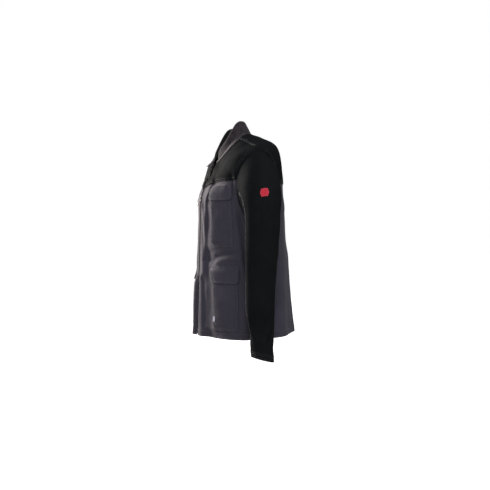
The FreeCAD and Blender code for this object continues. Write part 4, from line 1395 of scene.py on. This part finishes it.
def outline_curve(corner, at, inset, points=160):
    """The line a set distance inside a patch's sides and bottom, as angles and places."""
    u0, u1, v0, v1 = torso_span(at)
    left, right, low, high = u0 + inset, u1 - inset, v0 + inset, v1 - 1.0
    radius = max(1.0, corner - inset)
    path = [(left, high)]
    for cx, start in ((left + radius, 180), (right - radius, 270)):
        for k in range(9):
            a = math.radians(start + 90 * k / 8)
            path.append((cx + radius * math.cos(a), low + radius + radius * math.sin(a)))
    path.append((right, high))
    path = np.array(path)
    distance = distances(path)
    at_distance = np.linspace(0, distance[-1], points)
    u, v = (np.interp(at_distance, distance, path[:, k]) for k in (0, 1))
    return np.interp(u, GIRTH, GIRTH_ANGLES), np.interp(v, HEIGHT, HEIGHT_PLACES)


def level_curve(at, inset, drop):
    """A line across a patch, so far below its top."""
    u0, u1, v0, v1 = torso_span(at)
    u = np.linspace(u0 + inset, u1 - inset, 60)
    return np.interp(u, GIRTH, GIRTH_ANGLES), np.interp(np.full(60, v1 - drop), HEIGHT, HEIGHT_PLACES)


POCKET_CORNER, FLAP_CORNER = 9.0, 12.0
POCKET_ROWS = (2.2, 7.2)             # its two rows of stitches, from its edge
TOP_ROW_DROP = 14
STUD_SOCKET = [(1.2, -1.6), (4.9, -1.6), (5.5, -1.2), (5.5, -0.3), (5.2, 0.0), (1.2, 0.0)]
STUD_BALL = [(1.0, -0.4), (5.3, -0.4), (5.5, 0.0), (5.0, 0.5), (2.4, 0.7), (2.1, 1.6), (1.6, 2.0), (0.4, 2.1)]


def patch_steps(at, columns):
    """Grid lines over a patch and a little past its edges."""
    low, high = (float(section_at(at[k])) for k in ("bottom", "top"))
    angles = np.linspace(at["angles"][0] - 1, at["angles"][1] + 1, columns)
    return angles, place_steps(low - 0.05, high + 0.05)


def pocket_and_flap(kind, side, pocket, flap):
    name = f"{side}_{kind}_pocket"
    fullness = 1.0 if side == "left" else RIGHT_FULLNESS
    face = pocket_face(pocket, fullness)
    sewn_sheet(name + "_cloth", [name], [patch_rule(pocket, POCKET_CORNER)], *patch_steps(pocket, 64), face,
               POCKET_CLOTH, [twill], "body_cloth", "hung", [side + "_front_panel_cloth"], side)
    for inset in POCKET_ROWS:
        a, s = outline_curve(POCKET_CORNER, pocket, inset)
        sew_on_torso("front_stitching", a, s, face(a, s), side)
    a, s = level_curve(pocket, 6, TOP_ROW_DROP)
    sew_on_torso("front_stitching", a, s, face(a, s), side)

    name = f"{side}_{kind}_flap"
    over = flap_face(flap, pocket, fullness)
    made, size = torso_sheet(name + "_cloth", *patch_steps(flap, 72), [patch_rule(flap, FLAP_CORNER)], over,
                             lambda a, s: over(a, s) - FLAP_CLOTH, [twill], side)
    lift_flap(made)
    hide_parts(name)
    declare_sheet(made, size)
    for inset in POCKET_ROWS:
        a, s = outline_curve(FLAP_CORNER, flap, inset)
        sew_on_torso(name + "_stitching", a, s, over(a, s), side)
        a, s = level_curve(flap, 2, inset)
        sew_on_torso(name + "_stitching", a, s, over(a, s), side)

    middle = sum(flap["angles"]) / 2
    s = section_at(flap["top"] - STUD_DROPS[kind])
    socket = stud_at(middle, s, over(np.array(middle), s) - FLAP_CLOTH, STUD_SOCKET, side)
    register(new_object(name + "_socket", *socket, [stud_metal]), name, "stud_metal", name + "_stud")
    return stud_at(middle, s, face(np.array(middle), s), STUD_BALL, side)


def stud_at(angle, s, out, profile, side):
    at = np.array(angle if side == "left" else 360 - angle)
    normal = normals_of(draped_torso, at, s, 0.6, 0.012)
    u = unit(np.cross([0, 0, 1.0], normal))
    return placed(turned(profile), on_torso(at, s, out), u, np.cross(normal, u))


def lift_flap(made):
    """Bakes the piece's placement into its mesh; nothing here bends or lifts it."""
    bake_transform(made)


balls = []
for side in ("left", "right"):
    for kind, pocket, flap in (("chest", CHEST_POCKET, CHEST_FLAP), ("lower", LOWER_POCKET, LOWER_FLAP)):
        balls.append(pocket_and_flap(kind, side, pocket, flap))
register(new_object("pocket_stud_balls", *merged(balls), [stud_metal]), "torso", "stud_metal", "pocket_studs")


def pocket_tag():
    """A small blank tag sewn beside the left lower pocket's lower front corner."""
    low, high = (float(section_at(TAG[k])) for k in ("bottom", "top"))
    face = pocket_face(LOWER_POCKET)
    sewn_sheet("pocket_tag_cloth", ["pocket_tag"], [], np.linspace(*TAG["angles"], 14),
               np.linspace(low, high, 12), lambda a, s: face(a, s) + 1.1, 0.9, [tag_cloth], "pale_tag",
               "laid", ["left_lower_pocket_cloth"])


pocket_tag()

# ---- Zip --------------------------------------------------------------------------------------
TOOTH_PITCH = 3.0
TOOTH = [(-2.3, -1.5), (0.2, -1.5), (0.5, -1.05), (1.9, -1.0), (2.3, -0.5),
         (2.3, 0.5), (1.9, 1.0), (0.5, 1.05), (0.2, 1.5), (-2.3, 1.5)]
PIN_STANDS, PIN_ABOVE, PIN_RADIUS = 4.6, 3.5, 0.8
PIN = np.array([0, PIN_ABOVE, PIN_STANDS])
SLIDER_PLATE = [(-3.0, -9.0), (3.0, -9.0), (4.6, -7.8), (5.0, -4.0), (4.9, 0.0), (5.8, 3.5), (5.6, 7.2),
                (4.0, 8.8), (1.2, 9.0), (0.0, 8.2), (-1.2, 9.0), (-4.0, 8.8), (-5.6, 7.2), (-5.8, 3.5),
                (-4.9, 0.0), (-5.0, -4.0), (-4.6, -7.8)]
RAIL_LOW, RAIL_HIGH, RAIL_THICKNESS = -7.5, 6.5, 0.8
PULL = [(-2.2, -29.0), (2.2, -29.0), (3.3, -28.2), (3.6, -26.6), (3.5, -14.0), (3.0, -7.0), (2.0, -4.2),
        (1.9, 2.2), (-1.9, 2.2), (-2.0, -4.2), (-3.0, -7.0), (-3.5, -14.0), (-3.6, -26.6), (-3.3, -28.2)]
BOTTOM_BOX_Z = TEETH_BOTTOM_Z - 8.5
PULL_HANG = 14.0          # degrees that the pull hangs forward of the zip's line


def on_zip(parts, z):
    """Places shapes drawn about the origin on the zip's line at height z; h is to the front."""
    heights = np.array([SLIDER_Z, TEETH_BOTTOM_Z])
    top, bottom = torso_point(np.zeros(2), section_for_height(0.0, heights))
    down = unit(bottom - top)
    origin = top + down * ((top[2] - z) / -down[2])
    points, faces = merged(parts)
    return placed((points, faces), origin, (1, 0, 0), -down)


def across(shape):
    """Turns a shape drawn in (v, h) so that its height runs along u."""
    points, faces = shape
    return points[:, [2, 0, 1]], faces


def zip_piece(name, shape, body, node):
    register(new_object(name, *shape, [zip_metal]), body, "zip_metal", node)


def tape_place(x, z):
    """A point in the middle of the zip's tape, x from the middle."""
    angle = np.zeros(np.shape(z))
    for _ in range(3):
        s = section_for_height(angle, z)
        angle = angle_for_x(x, s)
    return on_torso(angle, s, -TAPE_DEPTH)


def teeth(shift):
    """The left side's row of teeth, moved up by a share of the pitch."""
    count = int((V_TOP_Z - 12 - TEETH_BOTTOM_Z) / TOOTH_PITCH)
    z = TEETH_BOTTOM_Z + (np.arange(count) + shift) * TOOTH_PITCH
    at = tape_place(v_edge_x(z) - TOOTH_SIDE + 0.2, z)
    points, faces = slab([(-u, h) for u, h in reversed(TOOTH)], -0.8, 0.8, 0.25)
    tooth = points[:, [0, 2, 1]], [tuple(reversed(f)) for f in faces]
    return merged([placed(tooth, point, (1, 0, 0), v) for point, v in zip(at, unit(np.gradient(at, axis=0)))])


def on_pin(shape):
    """Moves a shape drawn about the origin to the slider's pin."""
    points, faces = shape
    return points + PIN, faces


def slider():
    """Two plates joined by rails at their sides, and two ears with the pin between them."""
    ear = [(PIN_ABOVE - 2.6, 2.6), (PIN_ABOVE + 2.6, 2.6), (PIN_ABOVE + 1.7, 5.2), (PIN_ABOVE + 0.7, 6.1),
           (PIN_ABOVE - 0.7, 6.1), (PIN_ABOVE - 1.7, 5.2)]
    parts = [slab(SLIDER_PLATE, 1.0, 2.8, 0.6), slab(SLIDER_PLATE, -7.4, -6.2, 0.4)]
    parts += [across(slab(ear, x, x + 1.3, 0.3)) for x in (-3.6, 2.3)]
    pin = [(0.6, -4.2), (PIN_RADIUS, -4.0), (PIN_RADIUS, 4.0), (0.6, 4.2)]
    parts.append(on_pin(across(turned(pin, 16))))
    for x in (-5.6, 4.8):
        for low, high in ((-0.9, 1.3), (-6.5, -5.0)):
            rail = [(RAIL_LOW, low), (RAIL_HIGH, low), (RAIL_HIGH, high), (RAIL_LOW, high)]
            parts.append(across(slab(rail, x, x + RAIL_THICKNESS, 0.25)))
    return parts


def pull():
    """A tapered tab with an eye round the pin and ribs to grip, hanging a little forward."""
    eye = [(0.98, -1.9), (1.7, -1.8), (1.7, 1.8), (0.98, 1.9)]
    parts = [slab(PULL, PIN_STANDS - 0.7, PIN_STANDS + 0.7, 0.35), on_pin(across(turned(eye, 18)))]
    for k in range(6):
        rib = rounded(4.6, 1.0, 0.45, 3) + np.array([0, -25.5 + 2.4 * k])
        parts.append(slab(rib, PIN_STANDS - 1.05, PIN_STANDS + 1.05, 0.3))
    points, faces = merged(parts)
    sin, cos = math.sin(math.radians(PULL_HANG)), math.cos(math.radians(PULL_HANG))
    return [((points - PIN) @ np.array([[1, 0, 0], [0, cos, -sin], [0, sin, cos]]) + PIN, faces)]


def zip_pieces():
    zip_piece("left_teeth", teeth(0.0), "torso", "left_zip_teeth")
    points, faces = teeth(0.5)
    mirror = np.array([-1, 1, 1])
    row = points * mirror, [tuple(reversed(f)) for f in faces]
    zip_piece("right_teeth", row, "torso", "right_zip_teeth")
    zip_piece("slider_body", on_zip(slider(), SLIDER_Z), "slider", "zip_slider")
    zip_piece("pull_tab", on_zip(pull(), SLIDER_Z), "pull", "zip_pull")
    box = [slab(rounded(9.6, 12.0, 1.2), -4.9, -1.2, 0.6), slab(rounded(6.0, 7.0, 1.0), -1.4, -0.9, 0.3)]
    zip_piece("bottom_box", on_zip(box, BOTTOM_BOX_Z), "torso", "zip_bottom_box")
    at = tape_place(v_edge_x(np.array([TOP_STOP_Z])) - TOOTH_SIDE + 2.1, np.array([TOP_STOP_Z]))[0]
    stop = slab(rounded(4.0, 4.0, 1.1), -1.6, 1.6, 0.5)
    stops = [placed(stop, point, (1, 0, 0), (0, 0, 1)) for point in (at, at * mirror)]
    zip_piece("top_stops", merged(stops), "torso", "zip_top_stops")


zip_pieces()

# ---- Small sewn pieces ------------------------------------------------------------------------
TAB_WIDTH, TAB_LENGTH, TAB_DROP, TAB_CORNER, TAB_HALF = 20.0, 31.0, 42.0, 7.0, 1.1
TAB_ROOT = (-27.0, NAPE_Y - 126.8, NAPE_Z - 86.0)
LOOP_HALF_WIDTH, LOOP_HEIGHT, LOOP_FOOT, HALF_STRAP = 24.0, 16.0, 12.6, 2.9
EMBLEM_HALF, EMBLEM_POINT, EMBLEM_SLANT = (12.5, 12.2), 2.2, 5


def throat_tab():
    """The strap that closes the collar at the throat, standing open on its right end."""
    u, v = np.linspace(-TAB_WIDTH / 2, TAB_WIDTH / 2, 17), np.linspace(0, TAB_LENGTH, 27)
    params, faces = grid(u, v)

    def inside(points):
        x = np.abs(points[:, 0]) - TAB_WIDTH / 2 + TAB_CORNER
        y = points[:, 1] - TAB_LENGTH + TAB_CORNER
        return TAB_CORNER - np.hypot(np.maximum(x, 0), np.maximum(y, 0)) - np.minimum(np.maximum(x, y), 0)

    params, faces = cut(params, faces, inside(params))
    drop = math.radians(TAB_DROP)

    def surface(points, out):
        x, y = points.T
        curl = 0.9 * np.sin(y / TAB_LENGTH * math.pi) - 0.012 * x * x
        edge = 0.35 * (1 - smooth(inside(points) / 2.0))
        h = curl + out - np.sign(out) * edge
        return np.stack([TAB_ROOT[0] + x, TAB_ROOT[1] - y * math.cos(drop) - h * math.sin(drop) * 0.7,
                         TAB_ROOT[2] - y * math.sin(drop) + h * math.cos(drop)], -1)

    area = TAB_WIDTH * TAB_LENGTH * 1e-6 * 0.96
    outer, inner = surface(params, TAB_HALF), surface(params, -TAB_HALF)
    if np.cross(outer[faces[0][1]] - outer[faces[0][0]], outer[faces[0][2]] - outer[faces[0][0]])[2] < 0:
        faces = [tuple(reversed(f)) for f in faces]
    points, all_faces, _, source = closed_sheet(outer, inner, faces)
    made = new_object("throat_strap", points, all_faces, [collar_cloth], params[source])
    register(made, "tab", "collar_cloth", "throat_tab")
    declare_sheet(made, dict(flat=(TAB_WIDTH * MM, TAB_LENGTH * MM), area=area))
    for inset in (2.4, 6.0):
        r, side = TAB_CORNER + 0.5 - inset, TAB_WIDTH / 2 - inset
        arc = [(side, 1.0)]
        for k in np.linspace(0, math.pi, 24):
            middle = side - r if k <= math.pi / 2 else r - side
            arc.append((middle + r * math.cos(k), TAB_LENGTH - inset - r + r * math.sin(k)))
        curve = surface(np.array(arc + [(-side, 1.0)]), TAB_HALF + 0.05)
        sew("tab_stitching", curve, np.tile([0, -math.sin(drop), math.cos(drop)], (len(curve), 1)))


def hanger_loop():
    """A narrow strap in an arch inside the collar, its ends folded back to the collar's seam."""
    params, faces = grid(np.linspace(0, math.pi, 41), np.linspace(-HALF_STRAP, HALF_STRAP, 7))
    ring = [np.stack([(LOOP_HALF_WIDTH + g) * np.cos(params[:, 0]), params[:, 1],
                      -LOOP_HEIGHT + (LOOP_HEIGHT + g) * np.sin(params[:, 0])], -1) for g in (1.5, 0.1)]
    parts = [closed_sheet(*ring, [tuple(reversed(f)) for f in faces])[:2]]
    for sign in (-1, 1):
        x = sign * (LOOP_HALF_WIDTH + 0.8)
        params, faces = grid(np.linspace(-1.9, 1.9, 5), np.linspace(-HALF_STRAP, LOOP_FOOT, 9))
        foot = [np.stack([x + params[:, 0], params[:, 1], np.full(len(params), -LOOP_HEIGHT - g)], -1)
                for g in (0.0, 1.4)]
        parts.append(closed_sheet(*foot, faces)[:2])
    register(new_object("hanger_strap", *merged(parts), [lining]), "torso", "lining", "hanger_loop")


def badge():
    """A plain six-sided embroidered badge with a satin border, sewn on the left sleeve."""
    surface = on_sleeve("left")
    around, t = EMBLEM_MIDDLE
    ahead = np.linalg.norm(sleeve_point(around + 1, t) - sleeve_point(around - 1, t)) / 2
    down = np.linalg.norm(sleeve_point(around, t + 0.01) - sleeve_point(around, t - 0.01)) / 0.02
    half_u, half_v = EMBLEM_HALF

    def inside(u, v):
        return np.minimum(half_v - np.abs(v), (half_u - np.abs(u)) * 0.9 - 0.32 * np.abs(v) + EMBLEM_POINT)

    def on(points, out):
        return surface(around + points[:, 0] / ahead, t + points[:, 1] / down, out)

    params, faces = grid(np.linspace(-half_u - 2, half_u + 2, 40), np.linspace(-half_v, half_v, 36))
    params, faces = cut(params, faces, inside(*params.T))
    edge = inside(*params.T)
    border = smooth(edge / 0.8) * (1 - smooth((edge - 2.2) / 0.8))
    relief = 0.25 * np.cos(params[:, 0] * 1.5) * np.cos(params[:, 1] * 1.5) * (1 - border)
    outer, inner = on(params, 1.2 + 0.5 * border + relief * 0.4), on(params, 0.2 + 0 * edge)
    area = sheet_area(np.column_stack([params, 0 * edge]), faces)
    points, all_faces, _, source = closed_sheet(outer, inner, faces)
    made = new_object("sleeve_badge", points, all_faces, [badge_cloth], params[source])
    bend_with_arm(made)
    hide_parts("sleeve_emblem")
    size = dict(flat=(2 * (half_u + 2) * MM, 2 * half_v * MM), area=area)
    declare_sheet(made, size)
    tip = half_u + EMBLEM_POINT
    flat = tip - EMBLEM_SLANT
    corners = np.array([(flat, -half_v), (tip, 0), (flat, half_v),
                        (-flat, half_v), (-tip, 0), (-flat, -half_v)])
    ring = np.concatenate([mix(corners[k], corners[(k + 1) % 6], np.linspace(0, 1, 14)[:-1, None])
                           for k in range(6)] + [corners[:1]])
    parts = []
    step = np.diff(ring, axis=0)
    for k in range(len(step)):
        for q in np.linspace(0, 1, 3)[:-1]:
            middle = ring[k] * 0.90 + step[k] * q
            across_border = unit(middle) * 1.7
            line = np.array([middle - across_border, middle, middle + across_border * 0.8])
            parts.append(thread_bar(on(line, np.array([0.9, 1.75, 0.9])), 0.36))
    made = new_object("badge_border", *merged(parts), [red_thread])
    bend_with_arm(made)


def thread_bar(curve, radius):
    """One satin stitch: a thread through three points."""
    ahead = unit(curve[-1] - curve[0])
    side = unit(np.cross(ahead, curve[1] - (curve[0] + curve[2]) / 2))
    up = np.cross(side, ahead)
    turn = np.arange(5) / 5 * 2 * math.pi
    ring = np.cos(turn)[:, None] * side + np.sin(turn)[:, None] * up
    return stacked([p + ring * radius for p in curve])


throat_tab()
hanger_loop()
badge()


# ---- Stitching --------------------------------------------------------------------------------
def place_where(rule, angles, low, high):
    """Places where a rule that rises with the place crosses zero at those angles."""
    return solve(lambda s: rule(angles, s), angles * 0 + low, angles * 0 + high)


def angle_where(rule, places, low, high):
    return solve(lambda a: rule(a, places), places * 0 + low, places * 0 + high)


def clear_of(rule, a, s):
    keep = rule(a, s) > 0
    return a[keep], s[keep]


LAP_ROWS, ZIP_ROWS = (2.4, 8.4), (2.6, 9.5)      # rows of stitches, from a lapped edge and the opening
HEM_ROWS, ARMHOLE_ROWS = (3.0, HEM_TURN - 1.5), (4.0, 9.5)


def body_stitching():
    for side in ("left", "right"):
        front = np.linspace(3, 92, 300)
        for inset in LAP_ROWS:
            s = place_where(lambda a, s: from_front_seam(a, s) + OVERLAP - inset, front, 4.8, 7.5)
            a, s = clear_of(lambda a, s: np.minimum(from_armhole(a, s) - 3, outside_v(3)(a, s)), front, s)
            sew_on_torso("yoke_stitching", a, s, LAP + 0 * a, side)
            places = np.linspace(0.05, 6.2, 400)
            a = angle_where(lambda a, s: -from_side(a, s) - OVERLAP + inset, places, 60, 97)
            keep = (above_hem(3)(a, places) > 0) & (from_armhole(a, places) > 2)
            sew_on_torso("front_stitching", a[keep], places[keep], LAP + 0 * a[keep], side)
        for inset in ZIP_ROWS:
            places = np.linspace(0.02, NECK - 0.05, 500)
            a = angle_where(outside_v(inset), places, 0.1, 30)
            a, s = clear_of(above_hem(2), a, places)
            above = from_front_seam(a, s) > -OVERLAP
            out = np.where(above, LAP, 0.0) + hem_fold(a, s)
            sew_on_torso("yoke_stitching", a[above], s[above], out[above], side)
            below = from_front_seam(a, s) < -OVERLAP - 2
            sew_on_torso("front_stitching", a[below], s[below], out[below], side)
        for inset in HEM_ROWS:
            a = np.linspace(2.5, 92, 300)
            s = place_where(above_hem(inset), a, -0.3, 1.5)
            sew_on_torso("front_stitching", a, s, HEM_EXTRA + LAP * (a > 88), side)
        for grow in ARMHOLE_ROWS:
            around = np.linspace(0, 360, 361)
            a, s = torso_at_yz(*armhole_yz(around, grow))
            leather_part = np.where(a < 90, from_front_seam(a, s) > -OVERLAP, from_back_seam(a, s) > -OVERLAP)
            for group, part in (("yoke_stitching", leather_part), ("front_stitching", ~leather_part)):
                ends = np.flatnonzero(np.diff(part.astype(int))) + 1
                for run in np.split(np.arange(len(a)), ends):
                    if part[run[0]] and len(run) > 4:
                        sew_on_torso(group, a[run], s[run], armhole_seam(a[run], s[run]) + 0.2, side)
        for inset in LAP_ROWS:
            places = np.linspace(7.3, NECK - 0.04, 160)
            a = angle_where(lambda a, s: -from_side(a, s) + OVERLAP - inset, places, 60, 110)
            keep = from_armhole(a, places) > 2
            sew_on_torso("yoke_stitching", a[keep], places[keep], LAP + 0 * a[keep], side)
    for inset in LAP_ROWS:
        a = np.linspace(90, 270, 500)
        s = place_where(lambda a, s: from_back_seam(a, s) + OVERLAP - inset, a, 5.2, 7.5)
        a, s = clear_of(both(lambda a, s: from_armhole(a, s) - 3), a, s)
        sew_on_torso("yoke_stitching", a, s, LAP + 0 * a)
    for inset in HEM_ROWS:
        a = np.linspace(96, 264, 500)
        sew_on_torso("back_stitching", a, place_where(above_hem(inset), a, -0.3, 1.5), HEM_EXTRA + 0 * a)


def sleeve_stitching(side):
    """Two rows beside each long seam, and three rows round the cuff."""
    surface = on_sleeve(side)

    def row(group, around, t, out):
        around, t = np.broadcast_arrays(np.asarray(around, float), np.asarray(t, float))
        here = surface(around, t, out)
        sew(group, here, unit(surface(around, t, out + 1.0) - here))

    for around in (3.4, 5.6, 183.4, 185.6):
        row(side + "_sleeve_stitching", around, np.linspace(0.06, CUFF_START - 0.01, 420), 0.1)
    for at in (CUFF_START + 0.0015, CUFF_START + 0.010, 0.994):
        row(side + "_cuff_stitching", np.linspace(0, 360, 260), at, CUFF_STANDS)


body_stitching()
for side in ("left", "right"):
    sleeve_stitching(side)
for group, rows in seams.items():
    leathery = "yoke" in group or "sleeve" in group or "cuff" in group
    made = new_object(group, *merged(rows), [black_thread if leathery else charcoal_thread])
    if "sleeve" in group:
        bend_with_arm(made)
    elif "cuff" in group:
        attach(made, group.split("_")[0] + "_arm")
    elif "flap" in group:
        lift_flap(made)
    else:
        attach(made, "tab" if group.startswith("tab") else "torso")

# ---- Stage, light and camera ------------------------------------------------------------------
FLOOR_DROP, FLOOR_SIZE = 0.12, 24
ROOM_LIGHT = 0.30
LIGHTS_AIM = (0, 0, -0.35)
LIGHTS = [      # name, place, width, power and colour
    ("key", (-3.05, -1.85, 0.6), 1.5, 415, (1.0, 0.92, 0.86)),
    ("fill", (3.0, -0.6, 1.0), 2.2, 60, (0.95, 0.97, 1.0)),
    ("top", (0.6, 1.2, 2.6), 1.8, 45, (0.95, 1.0, 0.97)),
]
CAMERA_AZIMUTH, CAMERA_DISTANCE, CAMERA_LENS, SENSOR = 73, 2.8, 58.1, 36.0
CAMERA_DROP, AIM_DROP, AIM_SIDE = 0.329, 0.382, -0.0177


def floor():
    low = cad_box[0]
    bpy.ops.mesh.primitive_plane_add(size=FLOOR_SIZE, location=(0, 0, low[2] - FLOOR_DROP))
    made = bpy.context.object
    made.name = "floor"
    made.data.materials.append(stage_material("floor_white", (0.35, 0.35, 0.36)))


def area_light(name, place, size, power, colour):
    data = bpy.data.lights.new(name, "AREA")
    data.shape, data.size, data.energy, data.color = "DISK", size, power, colour
    made = bpy.data.objects.new(name, data)
    made.location = place
    made.rotation_euler = (Vector(LIGHTS_AIM) - Vector(place)).to_track_quat("-Z", "Y").to_euler()
    bpy.context.scene.collection.objects.link(made)


def lights():
    """A strong soft light from the right front, weak ones from the left and above, and a dim room."""
    for light in LIGHTS:
        area_light(*light)
    world = bpy.data.worlds.new("white")
    world.use_nodes = True
    tree = world.node_tree
    background = tree.nodes["Background"]
    background.inputs["Color"].default_value = (1, 1, 1, 1)
    tree.links.new(for_camera_rays(tree, 1.0, ROOM_LIGHT), background.inputs["Strength"])
    bpy.context.scene.world = world
    bpy.context.scene.view_settings.view_transform = "Standard"


def camera():
    """The wearer's left side, seen slightly from the front, from waist height."""
    azimuth = math.radians(CAMERA_AZIMUTH)
    nape = Vector((0, NAPE_Y * MM, NAPE_Z * MM))
    data = bpy.data.cameras.new("camera")
    data.lens, data.sensor_width = CAMERA_LENS, SENSOR
    made = bpy.data.objects.new("camera", data)
    made.location = nape + Vector((math.sin(azimuth), -math.cos(azimuth), 0)) * CAMERA_DISTANCE
    made.location.z = nape.z - CAMERA_DROP
    aim = nape + Vector((math.cos(azimuth), math.sin(azimuth), 0)) * AIM_SIDE
    aim.z = nape.z - AIM_DROP
    made.rotation_euler = (aim - made.location).to_track_quat("-Z", "Y").to_euler()
    bpy.context.scene.collection.objects.link(made)
    bpy.context.scene.camera = made


floor()
lights()
camera()
